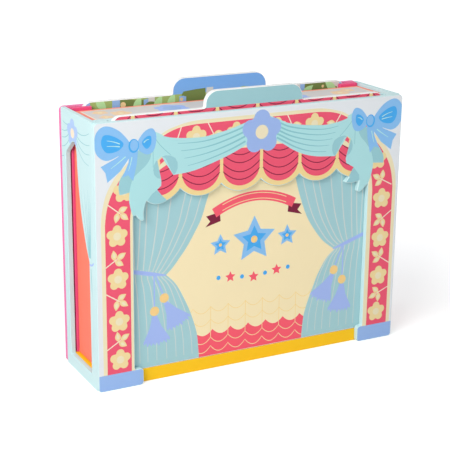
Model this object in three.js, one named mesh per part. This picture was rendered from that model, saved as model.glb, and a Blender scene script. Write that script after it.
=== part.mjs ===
// Table-top puppet theatre stand, packed for carrying. An open-topped case of painted boards has a cut-out
// proscenium in front, a curtain board and a backdrop board that lift out of slots by their hand tabs, and
// a lidded storage box that stands in the bay between them.
// Millimetres. +X runs right along the front, +Y to the back and +Z up. The origin lies on the surface
// that the stand rests on, below the middle of the case.
import * as THREE from 'three';

// Case
const bodyWidth = 384;
const bodyHeight = 300;
const bodyDepth = 103;

// Board thicknesses
const prosceniumSheet = 6.5;
const sideSheet = 6;
const backSheet = 6.5;
const floorSheet = 15.5;
const guideSheet = 5;
const liftBoardSheet = 6.5;
const boxSheet = 5;

// Fits and edges
const glueLine = 0.1;
const slotClearance = 0.25;
const seatGap = 0.3;
const edgeRound = 0.8;
const curveSteps = 5;
const edgeSteps = 2;

// Proscenium: legs, feet and outer corners
const legWidth = 43;
const footHeight = 20;
const leftFootStep = 10.5;
const rightFootStep = 6.5;
const footRound = 4;
const footFillet = 2;
const panelCornerRound = 5;

// Proscenium: scalloped valance and the swag tails that hang into the opening
const leftTailReach = 55.4;
const rightTailReach = 44.2;
const tailDrop = 30.6;
const scallopCount = 4;
const scallopDrop = 11;
const valanceDepth = 80;

// Side panels: opening between the rear jamb and the printed curtain
const sideSillHeight = 15;
const sideOpeningHead = 31;

// Back panel: opening for the hands
const backOpeningMargin = 44;
const backOpeningSill = 32;
const backOpeningHead = 40;
const backOpeningRound = 20;

// Strips that make the slots: how far they reach in from the side panels, and the gap that the rear
// guides leave there
const spacerWidth = 12;
const guideWidth = 26;
const rearGuideGap = 1.5;

// Lift-out boards
const liftBoardEndPlay = 5.4;
const liftBoardRise = 3.8;
const liftBoardCornerRound = 10;
const liftBoardFootRound = 3;
const tabWidth = 121;
const tabRise = 18.5;
const tabRound = 15;
const tabFillet = 2;

// Storage box
const boxSideClearance = 2.4;
const boxRestShift = 1.4;
const boxGuideClearance = 0.8;
const lidDrop = 3.5;
const lidPlay = 0.6;
const battenWidth = 12;
const battenDepth = 8;

// Finish
const paint = { roughness: 0.5, metalness: 0 };
const mint = '#d3efef';
const pink = '#f28cba';
const amber = '#fdc02a';
const orange = '#ff7c64';
const curtainTeal = '#a0ccd2';
const tabBlue = '#6ca0d9';

// Planes that more than one piece is set from
const halfWidth = bodyWidth / 2;
const frontFace = -bodyDepth / 2;
const backFace = bodyDepth / 2;
const innerHalfWidth = halfWidth - sideSheet;
const slotDepth = liftBoardSheet + 2 * slotClearance;
const prosceniumRear = frontFace + prosceniumSheet;
const frontSlotMiddle = prosceniumRear + slotDepth / 2;
const bayFront = prosceniumRear + slotDepth + guideSheet;
const backPanelFront = backFace - backSheet;
const rearSlotMiddle = backPanelFront - slotDepth / 2;
const bayRear = backPanelFront - slotDepth - guideSheet;
const openingHalfWidth = halfWidth - legWidth;
const valanceCuspHeight = bodyHeight - valanceDepth;

// Turns for a sheet whose outline is drawn flat: upright across the stand, upright along it, or lying
const acrossStand = new THREE.Euler(Math.PI / 2, 0, 0);
const alongStand = new THREE.Euler(Math.PI / 2, Math.PI / 2, 0);
const lying = new THREE.Euler(0, 0, 0);

const stand = new THREE.Group();

// Adds one board of an outline, with its edges rounded over, and returns it for placing.
function addBoard(name, outline, thickness, turn, colour) {
  const geometry = new THREE.ExtrudeGeometry(outline, {
    depth: thickness - 2 * edgeRound,
    curveSegments: curveSteps,
    bevelEnabled: true,
    bevelThickness: edgeRound,
    bevelSize: edgeRound,
    bevelOffset: -edgeRound,
    bevelSegments: edgeSteps,
  });
  geometry.translate(0, 0, edgeRound - thickness / 2);
  const board = new THREE.Mesh(geometry, new THREE.MeshStandardMaterial({ color: colour, ...paint }));
  board.name = name;
  board.rotation.copy(turn);
  stand.add(board);
  return board;
}

// Draws a rectangle round the outline's origin.
function rectangle(width, height) {
  const shape = new THREE.Shape();
  shape.moveTo(-width / 2, -height / 2);
  shape.lineTo(width / 2, -height / 2);
  shape.lineTo(width / 2, height / 2);
  shape.lineTo(-width / 2, height / 2);
  shape.closePath();
  return shape;
}

// Continues a path with an arc that rounds the corner between the points before and after it.
function roundCorner(path, before, corner, after, radius) {
  const toBefore = before.clone().sub(corner).normalize();
  const toAfter = after.clone().sub(corner).normalize();
  const halfAngle = Math.acos(toBefore.dot(toAfter)) / 2;
  const start = corner.clone().addScaledVector(toBefore, radius / Math.tan(halfAngle));
  const bisector = toBefore.clone().add(toAfter).normalize();
  const centre = corner.clone().addScaledVector(bisector, radius / Math.sin(halfAngle));
  const clockwise = toBefore.cross(toAfter) > 0;
  const startAngle = start.clone().sub(centre).angle();
  const sweep = (Math.PI - 2 * halfAngle) * (clockwise ? -1 : 1);
  path.lineTo(start.x, start.y);
  path.absarc(centre.x, centre.y, radius, startAngle, startAngle + sweep, clockwise);
}

// Draws a closed path through corners, each { x, y, round }, where a round of zero stays sharp.
function roundedOutline(corners, path = new THREE.Shape()) {
  const points = corners.map(({ x, y }) => new THREE.Vector2(x, y));
  const last = points.length - 1;
  const start = points[last].clone().lerp(points[0], 0.5);
  path.moveTo(start.x, start.y);
  corners.forEach(({ round }, index) => {
    const before = points[index === 0 ? last : index - 1];
    const after = points[index === last ? 0 : index + 1];
    if (round > 0) {
      roundCorner(path, before, points[index], after, round);
    } else {
      path.lineTo(points[index].x, points[index].y);
    }
  });
  path.closePath();
  return path;
}

// Continues a path with one arc through two cusps at the same height, hanging below them.
function addScallop(path, fromX, toX, cuspHeight, drop) {
  const half = (toX - fromX) / 2;
  const radius = (half * half + drop * drop) / (2 * drop);
  const centreX = (fromX + toX) / 2;
  const centreHeight = cuspHeight - drop + radius;
  const spread = Math.asin(Math.abs(half) / radius);
  const down = -Math.PI / 2;
  path.absarc(centreX, centreHeight, radius, down - spread, down + spread, false);
}

// Swag tails, as shares of the reach from the leg to the valance's end cusp and of the tail's drop below it
const leftTailShares = {
  legTop: [0, 0.8],
  shoulder: [0.06, 0.77],
  outerBend: [0.12, 0.96],
  tip: [0.185, 1],
  tipRound: [0.235, 1],
  innerFoot: [0.232, 0.94],
  innerBend: [0.2, 0.62],
  notch: [0.285, 0.3],
  hemBend: [0.4, 0.47],
  hem: [0.52, 0.47],
  hemEndBend: [0.64, 0.46],
  hemEnd: [0.72, 0.37],
  scallopBend: [0.9, 0.24],
};
const rightTailShares = {
  legTop: [0, 0.69],
  outerBend: [0.12, 0.9],
  tipRound: [0.24, 1],
  tip: [0.335, 1.02],
  innerFoot: [0.33, 0.93],
  innerBend: [0.3, 0.78],
  notch: [0.29, 0.56],
  hemBend: [0.36, 0.6],
  hem: [0.5, 0.615],
  hemEnd: [0.62, 0.62],
  hemTip: [0.71, 0.56],
  foldTop: [0.6, 0.37],
  scallopBend: [0.86, 0.25],
};

// Draws the proscenium from the left foot round the opening to the right foot and back over the top.
function prosceniumOutline() {
  const leftCuspX = -openingHalfWidth + leftTailReach;
  const rightCuspX = openingHalfWidth - rightTailReach;
  const scallopPitch = (rightCuspX - leftCuspX) / scallopCount;
  const leftTail = ([across, down]) => [
    -openingHalfWidth + across * leftTailReach,
    valanceCuspHeight - down * tailDrop,
  ];
  const rightTail = ([across, down]) => [
    openingHalfWidth - across * rightTailReach,
    valanceCuspHeight - down * tailDrop,
  ];
  const point = (x, y) => new THREE.Vector2(x, y);
  const outerBottomLeft = point(-halfWidth, 0);
  const outerTopLeft = point(-halfWidth, bodyHeight);
  const outerTopRight = point(halfWidth, bodyHeight);
  const outerBottomRight = point(halfWidth, 0);
  const leftFootEnd = -openingHalfWidth + leftFootStep;
  const rightFootEnd = openingHalfWidth - rightFootStep;
  const leftFoot = [
    point(leftFootEnd, 0),
    point(leftFootEnd, footHeight),
    point(-openingHalfWidth, footHeight),
  ];
  const rightFoot = [
    point(openingHalfWidth, footHeight),
    point(rightFootEnd, footHeight),
    point(rightFootEnd, 0),
  ];
  const leftLegTop = point(...leftTail(leftTailShares.legTop));
  const rightLegTop = point(...rightTail(rightTailShares.legTop));

  const shape = new THREE.Shape();
  shape.moveTo(-halfWidth, bodyHeight / 2);
  roundCorner(shape, outerTopLeft, outerBottomLeft, leftFoot[0], footRound);
  roundCorner(shape, outerBottomLeft, leftFoot[0], leftFoot[1], footRound);
  roundCorner(shape, leftFoot[0], leftFoot[1], leftFoot[2], footRound);
  roundCorner(shape, leftFoot[1], leftFoot[2], leftLegTop, footFillet);
  shape.lineTo(leftLegTop.x, leftLegTop.y);
  const leftSteps = ['shoulder', 'outerBend tip', 'tipRound innerFoot', 'innerBend notch', 'hemBend hem',
    'hemEndBend hemEnd'];
  drawTail(shape, leftTail, leftTailShares, leftSteps);
  const leftBend = leftTail(leftTailShares.scallopBend);
  shape.quadraticCurveTo(...leftBend, leftCuspX, valanceCuspHeight);
  for (let index = 0; index < scallopCount; index += 1) {
    const fromX = leftCuspX + index * scallopPitch;
    addScallop(shape, fromX, fromX + scallopPitch, valanceCuspHeight, scallopDrop);
  }
  const rightBend = rightTail(rightTailShares.scallopBend);
  shape.quadraticCurveTo(...rightBend, ...rightTail(rightTailShares.foldTop));
  const rightSteps = ['hemTip', 'hemEnd hem', 'hemBend notch', 'innerBend innerFoot', 'tip tipRound',
    'outerBend legTop'];
  drawTail(shape, rightTail, rightTailShares, rightSteps);
  roundCorner(shape, rightLegTop, rightFoot[0], rightFoot[1], footFillet);
  roundCorner(shape, rightFoot[0], rightFoot[1], rightFoot[2], footRound);
  roundCorner(shape, rightFoot[1], rightFoot[2], outerBottomRight, footRound);
  roundCorner(shape, rightFoot[2], outerBottomRight, outerTopRight, footRound);
  roundCorner(shape, outerBottomRight, outerTopRight, outerTopLeft, panelCornerRound);
  roundCorner(shape, outerTopRight, outerTopLeft, outerBottomLeft, panelCornerRound);
  shape.closePath();
  return shape;
}

// Continues a path along a swag tail: one name is a straight step, two are a bend and the end of its curve.
function drawTail(path, place, shares, steps) {
  steps.forEach((step) => {
    const points = step.split(' ').map((name) => place(shares[name]));
    if (points.length === 1) {
      path.lineTo(...points[0]);
    } else {
      path.quadraticCurveTo(...points[0], ...points[1]);
    }
  });
}

// Side opening: where the curtain's straight fall starts, the sweep from its tie to the top, and the top,
// as shares of the opening's width and height
const curtainFallShare = [0.029, 0];
const curtainTieShare = [0.029, 0.512];
const curtainSweepShares = [
  [0.139, 0.564],
  [0.241, 0.627],
  [0.329, 0.691],
  [0.391, 0.757],
  [0.441, 0.824],
  [0.476, 0.892],
  [0.497, 0.96],
  [0.53, 0.985],
];
const openingTopShares = [
  [0.591, 1],
  [0.697, 0.994],
  [0.971, 0.94],
  [1, 0.925],
];

// Draws a side panel in its own plane, x to the back and y up, with the curtain-shaped opening.
function sideOutline() {
  const panelFront = prosceniumRear + glueLine;
  const panelRear = backPanelFront - glueLine;
  const shape = new THREE.Shape();
  shape.moveTo(panelFront, 0);
  shape.lineTo(panelRear, 0);
  shape.lineTo(panelRear, bodyHeight);
  shape.lineTo(panelFront, bodyHeight);
  shape.closePath();

  const openingWidth = bayRear - bayFront;
  const openingHeight = bodyHeight - sideOpeningHead - sideSillHeight;
  const place = ([across, up]) =>
    new THREE.Vector2(bayFront + across * openingWidth, sideSillHeight + up * openingHeight);
  const curtainFall = place(curtainFallShare);
  const curtainTie = place(curtainTieShare);
  const opening = new THREE.Path();
  opening.moveTo(curtainFall.x, curtainFall.y);
  opening.lineTo(curtainTie.x, curtainTie.y);
  opening.splineThru(curtainSweepShares.map(place));
  openingTopShares.map(place).forEach(({ x, y }) => opening.lineTo(x, y));
  opening.lineTo(bayRear, sideSillHeight);
  opening.closePath();
  shape.holes.push(opening);
  return shape;
}

// Draws the back panel with its rounded opening for the hands.
function backOutline() {
  const shape = roundedOutline([
    { x: -halfWidth, y: 0, round: footRound },
    { x: halfWidth, y: 0, round: footRound },
    { x: halfWidth, y: bodyHeight, round: panelCornerRound },
    { x: -halfWidth, y: bodyHeight, round: panelCornerRound },
  ]);
  const half = halfWidth - backOpeningMargin;
  const head = bodyHeight - backOpeningHead;
  const round = backOpeningRound;
  const opening = roundedOutline([
    { x: -half, y: backOpeningSill, round },
    { x: half, y: backOpeningSill, round },
    { x: half, y: head, round },
    { x: -half, y: head, round },
  ], new THREE.Path());
  shape.holes.push(opening);
  return shape;
}

// Draws a lift-out board with its hand tab in the middle of the top edge.
function liftBoardOutline() {
  const half = innerHalfWidth - glueLine - spacerWidth - liftBoardEndPlay;
  const halfTab = tabWidth / 2;
  const foot = floorSheet + seatGap;
  const shoulder = bodyHeight + liftBoardRise;
  const tabTop = shoulder + tabRise;
  return roundedOutline([
    { x: -half, y: foot, round: liftBoardFootRound },
    { x: half, y: foot, round: liftBoardFootRound },
    { x: half, y: shoulder, round: liftBoardCornerRound },
    { x: halfTab, y: shoulder, round: tabFillet },
    { x: halfTab, y: tabTop, round: tabRound },
    { x: -halfTab, y: tabTop, round: tabRound },
    { x: -halfTab, y: shoulder, round: tabFillet },
    { x: -half, y: shoulder, round: liftBoardCornerRound },
  ]);
}

// Makes the case: the proscenium, the two side panels, the back panel and the stage floor.
function addCase() {
  const proscenium = addBoard('proscenium_panel', prosceniumOutline(), prosceniumSheet, acrossStand, mint);
  proscenium.position.y = frontFace + prosceniumSheet / 2;
  const back = addBoard('back_panel', backOutline(), backSheet, acrossStand, pink);
  back.position.y = backFace - backSheet / 2;
  for (const [side, sign] of [['left', -1], ['right', 1]]) {
    const panel = addBoard(`side_panel_${side}`, sideOutline(), sideSheet, alongStand, mint);
    panel.position.x = sign * (halfWidth - sideSheet / 2);
  }
  const floorWidth = 2 * (innerHalfWidth - glueLine);
  const floorDepth = backPanelFront - prosceniumRear - 2 * glueLine;
  const floor = addBoard('stage_floor', rectangle(floorWidth, floorDepth), floorSheet, lying, amber);
  floor.position.set(0, (backPanelFront + prosceniumRear) / 2, floorSheet / 2);
}

// Makes the strips at both ends of both slots: a spacer against the panel and a guide behind it.
function addSlotStrips() {
  const stripHeight = bodyHeight - floorSheet - glueLine;
  const stripMiddle = floorSheet + glueLine + stripHeight / 2;
  const spacerSheet = slotDepth - 2 * glueLine;
  const halfGuide = guideSheet / 2;
  const slots = [
    { slot: 'front', colour: mint, spacerY: frontSlotMiddle, guideY: bayFront - halfGuide, gap: glueLine },
    { slot: 'rear', colour: pink, spacerY: rearSlotMiddle, guideY: bayRear + halfGuide, gap: rearGuideGap },
  ];
  for (const { slot, colour, spacerY, guideY, gap } of slots) {
    for (const [side, sign] of [['left', -1], ['right', 1]]) {
      const spacerOutline = rectangle(spacerWidth, stripHeight);
      const spacer = addBoard(`${slot}_spacer_${side}`, spacerOutline, spacerSheet, acrossStand, colour);
      spacer.position.set(sign * (innerHalfWidth - glueLine - spacerWidth / 2), spacerY, stripMiddle);
      const guideOutline = rectangle(guideWidth - gap, stripHeight);
      const guide = addBoard(`${slot}_guide_${side}`, guideOutline, guideSheet, acrossStand, colour);
      guide.position.set(sign * (innerHalfWidth - (guideWidth + gap) / 2), guideY, stripMiddle);
    }
  }
}

// Makes the two boards that lift out of the slots.
function addLiftBoards() {
  const curtain = addBoard('curtain_board', liftBoardOutline(), liftBoardSheet, acrossStand, curtainTeal);
  curtain.position.y = frontSlotMiddle;
  const backdrop = addBoard('backdrop_board', liftBoardOutline(), liftBoardSheet, acrossStand, tabBlue);
  backdrop.position.y = rearSlotMiddle;
}

// Makes the storage box, which stands a little to the right in the bay, and the lid that lies on its walls.
function addStorageBox() {
  const boxWidth = 2 * (innerHalfWidth - boxSideClearance);
  const boxDepth = bayRear - bayFront - 2 * boxGuideClearance;
  const boxMiddle = (bayFront + bayRear) / 2;
  const boxFoot = floorSheet + seatGap;
  const lidTop = bodyHeight - lidDrop;
  const lidFoot = lidTop - boxSheet;
  const wallFoot = boxFoot + boxSheet + glueLine;
  const wallHeight = lidFoot - seatGap - wallFoot;
  const wallMiddle = wallFoot + wallHeight / 2;

  const base = addBoard('storage_box_base', rectangle(boxWidth, boxDepth), boxSheet, lying, orange);
  base.position.set(boxRestShift, boxMiddle, boxFoot + boxSheet / 2);
  const wallOutline = rectangle(boxWidth, wallHeight);
  for (const [side, sign] of [['front', -1], ['back', 1]]) {
    const wall = addBoard(`storage_box_${side}`, wallOutline, boxSheet, acrossStand, orange);
    const wallY = boxMiddle + sign * (boxDepth - boxSheet) / 2;
    wall.position.set(boxRestShift, wallY, wallMiddle);
  }
  const endDepth = boxDepth - 2 * boxSheet - 2 * glueLine;
  const endOutline = rectangle(endDepth, wallHeight);
  for (const [side, sign] of [['left', -1], ['right', 1]]) {
    const end = addBoard(`storage_box_end_${side}`, endOutline, boxSheet, alongStand, orange);
    const endX = boxRestShift + sign * (boxWidth - boxSheet) / 2;
    end.position.set(endX, boxMiddle, wallMiddle);
  }

  const lid = addBoard('storage_lid', rectangle(boxWidth, boxDepth), boxSheet, lying, orange);
  lid.position.set(boxRestShift, boxMiddle, lidFoot + boxSheet / 2);
  const battenOutline = rectangle(battenWidth, endDepth - 2 * lidPlay);
  for (const [side, sign] of [['left', -1], ['right', 1]]) {
    const batten = addBoard(`lid_batten_${side}`, battenOutline, battenDepth, lying, orange);
    const battenX = boxRestShift + sign * (boxWidth / 2 - boxSheet - lidPlay - battenWidth / 2);
    batten.position.set(battenX, boxMiddle, lidFoot - glueLine - battenDepth / 2);
  }
}

addCase();
addSlotStrips();
addLiftBoards();
addStorageBox();

export default stand;
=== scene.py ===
"""Looks of a child's table-top puppet theater case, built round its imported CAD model."""

import logging
import math
import random
from collections.abc import Sequence
from dataclasses import dataclass, field, replace
from enum import Enum

import bmesh
import bpy
from mathutils import Matrix, Vector
from mathutils.geometry import delaunay_2d_cdt


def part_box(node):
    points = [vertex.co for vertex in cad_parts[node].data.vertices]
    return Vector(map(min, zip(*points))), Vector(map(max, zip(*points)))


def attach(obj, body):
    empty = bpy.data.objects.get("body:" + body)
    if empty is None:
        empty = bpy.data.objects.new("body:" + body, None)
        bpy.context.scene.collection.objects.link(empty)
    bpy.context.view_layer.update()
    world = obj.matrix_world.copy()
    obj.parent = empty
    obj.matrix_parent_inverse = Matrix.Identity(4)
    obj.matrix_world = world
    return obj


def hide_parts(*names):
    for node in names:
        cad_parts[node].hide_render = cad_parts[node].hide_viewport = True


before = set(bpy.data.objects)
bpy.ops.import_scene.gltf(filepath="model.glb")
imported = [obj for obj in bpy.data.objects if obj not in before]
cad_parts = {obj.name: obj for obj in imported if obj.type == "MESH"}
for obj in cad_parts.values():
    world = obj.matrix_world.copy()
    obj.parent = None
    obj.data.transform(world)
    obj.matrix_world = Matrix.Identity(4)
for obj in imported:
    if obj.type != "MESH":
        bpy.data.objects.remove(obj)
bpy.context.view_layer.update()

LOG = logging.getLogger("puppet_theater")
MM = 0.001
# Corners of a board that lie closer than this are one corner, in metres
WELD = 1e-6
# Points of a print that lie closer than this are one point, in millimetres
PRINT_WELD = 1e-4
# Lengths that are divided by are never taken as less than this
TINY = 1e-9
# A board's openings lie further than this from its ends, in metres
RIM_MARGIN = 3.0 * MM
# How squarely a surface faces along an axis: a rounded edge from the first to the second, flat beyond it
ROUNDED_FROM = 0.1
FLAT_FROM = 0.98
# How squarely the surface of a printed face has to face
PRINTED_FROM = 0.999
# How far prints run to each side and upward, past their boards' edges, and the lift-out boards' shoulders
PRINT_HALF = 180
PRINT_TOP = 330
SHOULDER = 303.8

Point = tuple[float, float]
Points = Sequence[Point]
Shape = tuple[Point, ...]
Line = list[Point]
Axis = tuple[float, float, float]
Colour = tuple[float, float, float, float]
Tree = bpy.types.NodeTree
Socket = bpy.types.NodeSocket
Corner = bmesh.types.BMVert
Edge = bmesh.types.BMEdge

ALONG_X: Axis = (1.0, 0.0, 0.0)
ALONG_Y: Axis = (0.0, 1.0, 0.0)
ALONG_Z: Axis = (0.0, 0.0, 1.0)
WHITE: Colour = (1.0, 1.0, 1.0, 1.0)


# Colours and finishes


def linear(code: str) -> Colour:
    """Turns a screen colour into the linear colour that shaders read.

    Args:
        code: Six hexadecimal digits, red, green and blue.

    Returns:
        Linear red, green, blue and an alpha of one.
    """
    shares = [int(code[i:i + 2], 16) / 255 for i in (0, 2, 4)]
    red, green, blue = (s / 12.92 if s <= 0.04045 else ((s + 0.055) / 1.055) ** 2.4 for s in shares)
    return red, green, blue, 1.0


class Ink(Enum):
    """Inks of the printed faces, each with its screen colour."""

    GROUND = "e6eaee"
    ARCH_CREAM = "efe3bd"
    CRIMSON = "ee5874"
    MAROON = "7c1f3c"
    GOLD = "f3d898"
    BLOSSOM = "f1d9a0"
    BLOSSOM_HEART = "efe3c1"
    STEM = "f7e6cf"
    SWAG = "b0e1e4"
    SWAG_FOLD = "8bc7ce"
    SWAG_SHADE = "9accd4"
    PERIWINKLE = "9db7ea"
    FOOT_BLUE = "9abbec"
    RIBBON = "8bc1f1"
    RIBBON_DEEP = "4aacf0"
    RIBBON_SHINE = "b4e6ea"
    CURTAIN = "a5cfd5"
    PLEAT = "ccd9d6"
    TASSEL = "a5bbf2"
    BEAD = "f8d28c"
    BOARD_CREAM = "f9e8bc"
    FAINT = "f8da8c"
    WAVE = "f85d71"
    WAVE_LINE = "fbe2aa"
    TAB_TEAL = "9fcad0"
    TAB_BLUE = "80b8f4"
    SKY = "bfe2f0"
    OLIVE = "a4c174"
    DEEP_OLIVE = "748a4c"
    LEAF = "b9ebaa"
    SPRING = "b9d98f"
    CLOUD = "eef4f6"
    DUSK = "5b78c0"
    DUSK_DEEP = "3f5796"
    LILAC_GREY = "dbd6d4"
    PEACH = "f6d3aa"
    SIDE_GROUND = "cce9eb"
    SIDE_FOLD = "97ccd3"
    SIDE_BLOSSOM = "b0caf2"
    SIDE_TIE = "a9c2f8"
    RIM_ORANGE = "ff8f7b"
    STONE = "d6dcd6"
    GLIMPSE_BLUE = "96c2f2"
    LID_BLUE = "9dbcea"


def new_group(name: str, inputs: dict[str, str], outputs: dict[str, str]) -> Tree:
    """Starts a shader node group with named sockets.

    Args:
        name: The group's name.
        inputs: Socket names with their socket types, for what goes in.
        outputs: The same for what comes out.

    Returns:
        The group's node tree, holding one input and one output node.
    """
    tree = bpy.data.node_groups.new(name, "ShaderNodeTree")
    for socket, kind in inputs.items():
        tree.interface.new_socket(socket, in_out="INPUT", socket_type=kind)
    for socket, kind in outputs.items():
        tree.interface.new_socket(socket, in_out="OUTPUT", socket_type=kind)
    tree.nodes.new("NodeGroupInput").name = "in"
    tree.nodes.new("NodeGroupOutput").name = "out"
    return tree


def maths(tree: Tree, operation: str, *values: object) -> Socket:
    """Adds a Math node.

    Args:
        tree: The tree to add to.
        operation: Blender's name of the operation.
        values: Numbers or sockets for the node's inputs.

    Returns:
        The node's output socket.
    """
    node = tree.nodes.new("ShaderNodeMath")
    node.operation = operation
    for socket, value in zip(node.inputs, values):
        if isinstance(value, Socket):
            tree.links.new(value, socket)
        else:
            socket.default_value = value
    return node.outputs[0]


def noise(tree: Tree, vector: Socket, scale: float, detail: float,
          rough: float = 0.5) -> Socket:
    """Adds a noise pattern.

    Args:
        tree: The tree to add to.
        vector: The coordinates that it reads.
        scale: Waves in a metre.
        detail: How many finer layers it has.
        rough: How strong the finer layers are.

    Returns:
        The pattern's value, from zero to one.
    """
    node = tree.nodes.new("ShaderNodeTexNoise")
    node.inputs["Scale"].default_value = scale
    node.inputs["Detail"].default_value = detail
    node.inputs["Roughness"].default_value = rough
    tree.links.new(vector, node.inputs["Vector"])
    return node.outputs["Fac"]


def centred(tree: Tree, pattern: Socket, strength: object) -> Socket:
    """Moves a noise pattern's middle to zero and scales it by a number or a socket."""
    return maths(tree, "MULTIPLY", maths(tree, "SUBTRACT", pattern, 0.5), strength)


def blend_colours(tree: Tree, share: object, under: object, over: object) -> Socket:
    """Adds a colour mix.

    Args:
        tree: The tree to add to.
        share: How much of the second colour shows, a number or socket.
        under: The first colour or socket.
        over: The second colour or socket.

    Returns:
        The mixed colour's socket.
    """
    node = tree.nodes.new("ShaderNodeMix")
    node.data_type = "RGBA"
    # A Mix node that mixes colours reads them from its inputs six and seven
    for socket, value in ((node.inputs[0], share), (node.inputs[6], under), (node.inputs[7], over)):
        if isinstance(value, Socket):
            tree.links.new(value, socket)
        else:
            socket.default_value = value
    return node.outputs[2]


class SharedEffects:
    """Node groups that several finishes share, each built once."""

    FLOAT, COLOUR, VECTOR = "NodeSocketFloat", "NodeSocketColor", "NodeSocketVector"
    # Each pattern's waves in a metre, its number of finer layers and, where given, their strength
    CLOUDS = (26.0, 3.0)
    SPECKLE = (1500.0, 2.0, 0.7)
    STREAKS = (1.0, 4.0, 0.62)
    PATCHES = (90.0, 3.0, 0.6)
    # How far the patterns move the colour, the roughness and the relief
    SPECKLE_SHADE = 0.8
    STREAK_ROUGHNESS = 0.16
    SPECKLE_RELIEF = 0.55
    STREAK_RELIEF = 0.9

    def __init__(self) -> None:
        """Builds every group."""
        self.board_surface = self._board_surface()
        self.rounded_edge = self._rounded_edge()

    def _board_surface(self) -> Tree:
        """Builds the group for mottled colour, faint wood grain and the relief of paint or paper.

        Returns:
            The group, with Colour, Roughness and Height outputs.
        """
        tree = new_group(
            "board_surface",
            {"Colour": self.COLOUR, "Mottle": self.FLOAT, "Grain": self.FLOAT,
             "Stretch": self.VECTOR, "Sheen Roughness": self.FLOAT},
            {"Colour": self.COLOUR, "Roughness": self.FLOAT, "Height": self.FLOAT})
        given, out = tree.nodes["in"], tree.nodes["out"]
        place = tree.nodes.new("ShaderNodeTexCoord").outputs["Object"]
        stretched = tree.nodes.new("ShaderNodeVectorMath")
        stretched.operation = "MULTIPLY"
        tree.links.new(place, stretched.inputs[0])
        tree.links.new(given.outputs["Stretch"], stretched.inputs[1])
        cloudy = noise(tree, place, *self.CLOUDS)
        speckle = noise(tree, place, *self.SPECKLE)
        streaks = noise(tree, stretched.outputs[0], *self.STREAKS)
        shade = centred(tree, cloudy, given.outputs["Mottle"])
        fibre = centred(tree, streaks, given.outputs["Grain"])
        dots = centred(tree, speckle, maths(tree, "MULTIPLY", given.outputs["Mottle"], self.SPECKLE_SHADE))
        level = maths(tree, "ADD", maths(tree, "ADD", maths(tree, "ADD", shade, fibre), dots), 1.0)
        scaled = tree.nodes.new("ShaderNodeVectorMath")
        scaled.operation = "SCALE"
        tree.links.new(given.outputs["Colour"], scaled.inputs[0])
        tree.links.new(level, scaled.inputs["Scale"])
        tree.links.new(scaled.outputs[0], out.inputs["Colour"])
        uneven = centred(tree, streaks, self.STREAK_ROUGHNESS)
        tree.links.new(maths(tree, "ADD", given.outputs["Sheen Roughness"], uneven), out.inputs["Roughness"])
        relief = maths(tree, "ADD", maths(tree, "MULTIPLY", speckle, self.SPECKLE_RELIEF),
                       maths(tree, "MULTIPLY", streaks, self.STREAK_RELIEF))
        tree.links.new(relief, out.inputs["Height"])
        return tree

    def _rounded_edge(self) -> Tree:
        """Builds the group that finds a board's rounded edges from the way they face.

        Returns:
            The group, with a Mask output that is one half way round an edge.
        """
        tree = new_group("rounded_edge", {"Face Axis": self.VECTOR, "Patchiness": self.FLOAT},
                         {"Mask": self.FLOAT})
        given, out = tree.nodes["in"], tree.nodes["out"]
        coordinates = tree.nodes.new("ShaderNodeTexCoord")
        facing = tree.nodes.new("ShaderNodeVectorMath")
        facing.operation = "DOT_PRODUCT"
        tree.links.new(coordinates.outputs["Normal"], facing.inputs[0])
        tree.links.new(given.outputs["Face Axis"], facing.inputs[1])
        square = maths(tree, "POWER", maths(tree, "ABSOLUTE", facing.outputs["Value"]), 2.0)
        # Four times a share times its rest is one at a half and zero at both ends
        slope = maths(tree, "MULTIPLY", square, maths(tree, "SUBTRACT", 1.0, square))
        ridge = maths(tree, "MULTIPLY", slope, 4.0)
        patches = maths(tree, "MULTIPLY", noise(tree, coordinates.outputs["Object"], *self.PATCHES),
                        given.outputs["Patchiness"])
        # Patches break up the ridge; the finishes blend this mask's edges to their edge colour, which is
        # rubbed paint together with painted highlight, or painted shade
        patchy_ridge = maths(tree, "MULTIPLY", ridge, maths(tree, "SUBTRACT", 1.0, patches))
        patchy_ridge.node.use_clamp = True
        tree.links.new(patchy_ridge, out.inputs["Mask"])
        return tree


EFFECTS = SharedEffects()


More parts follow.
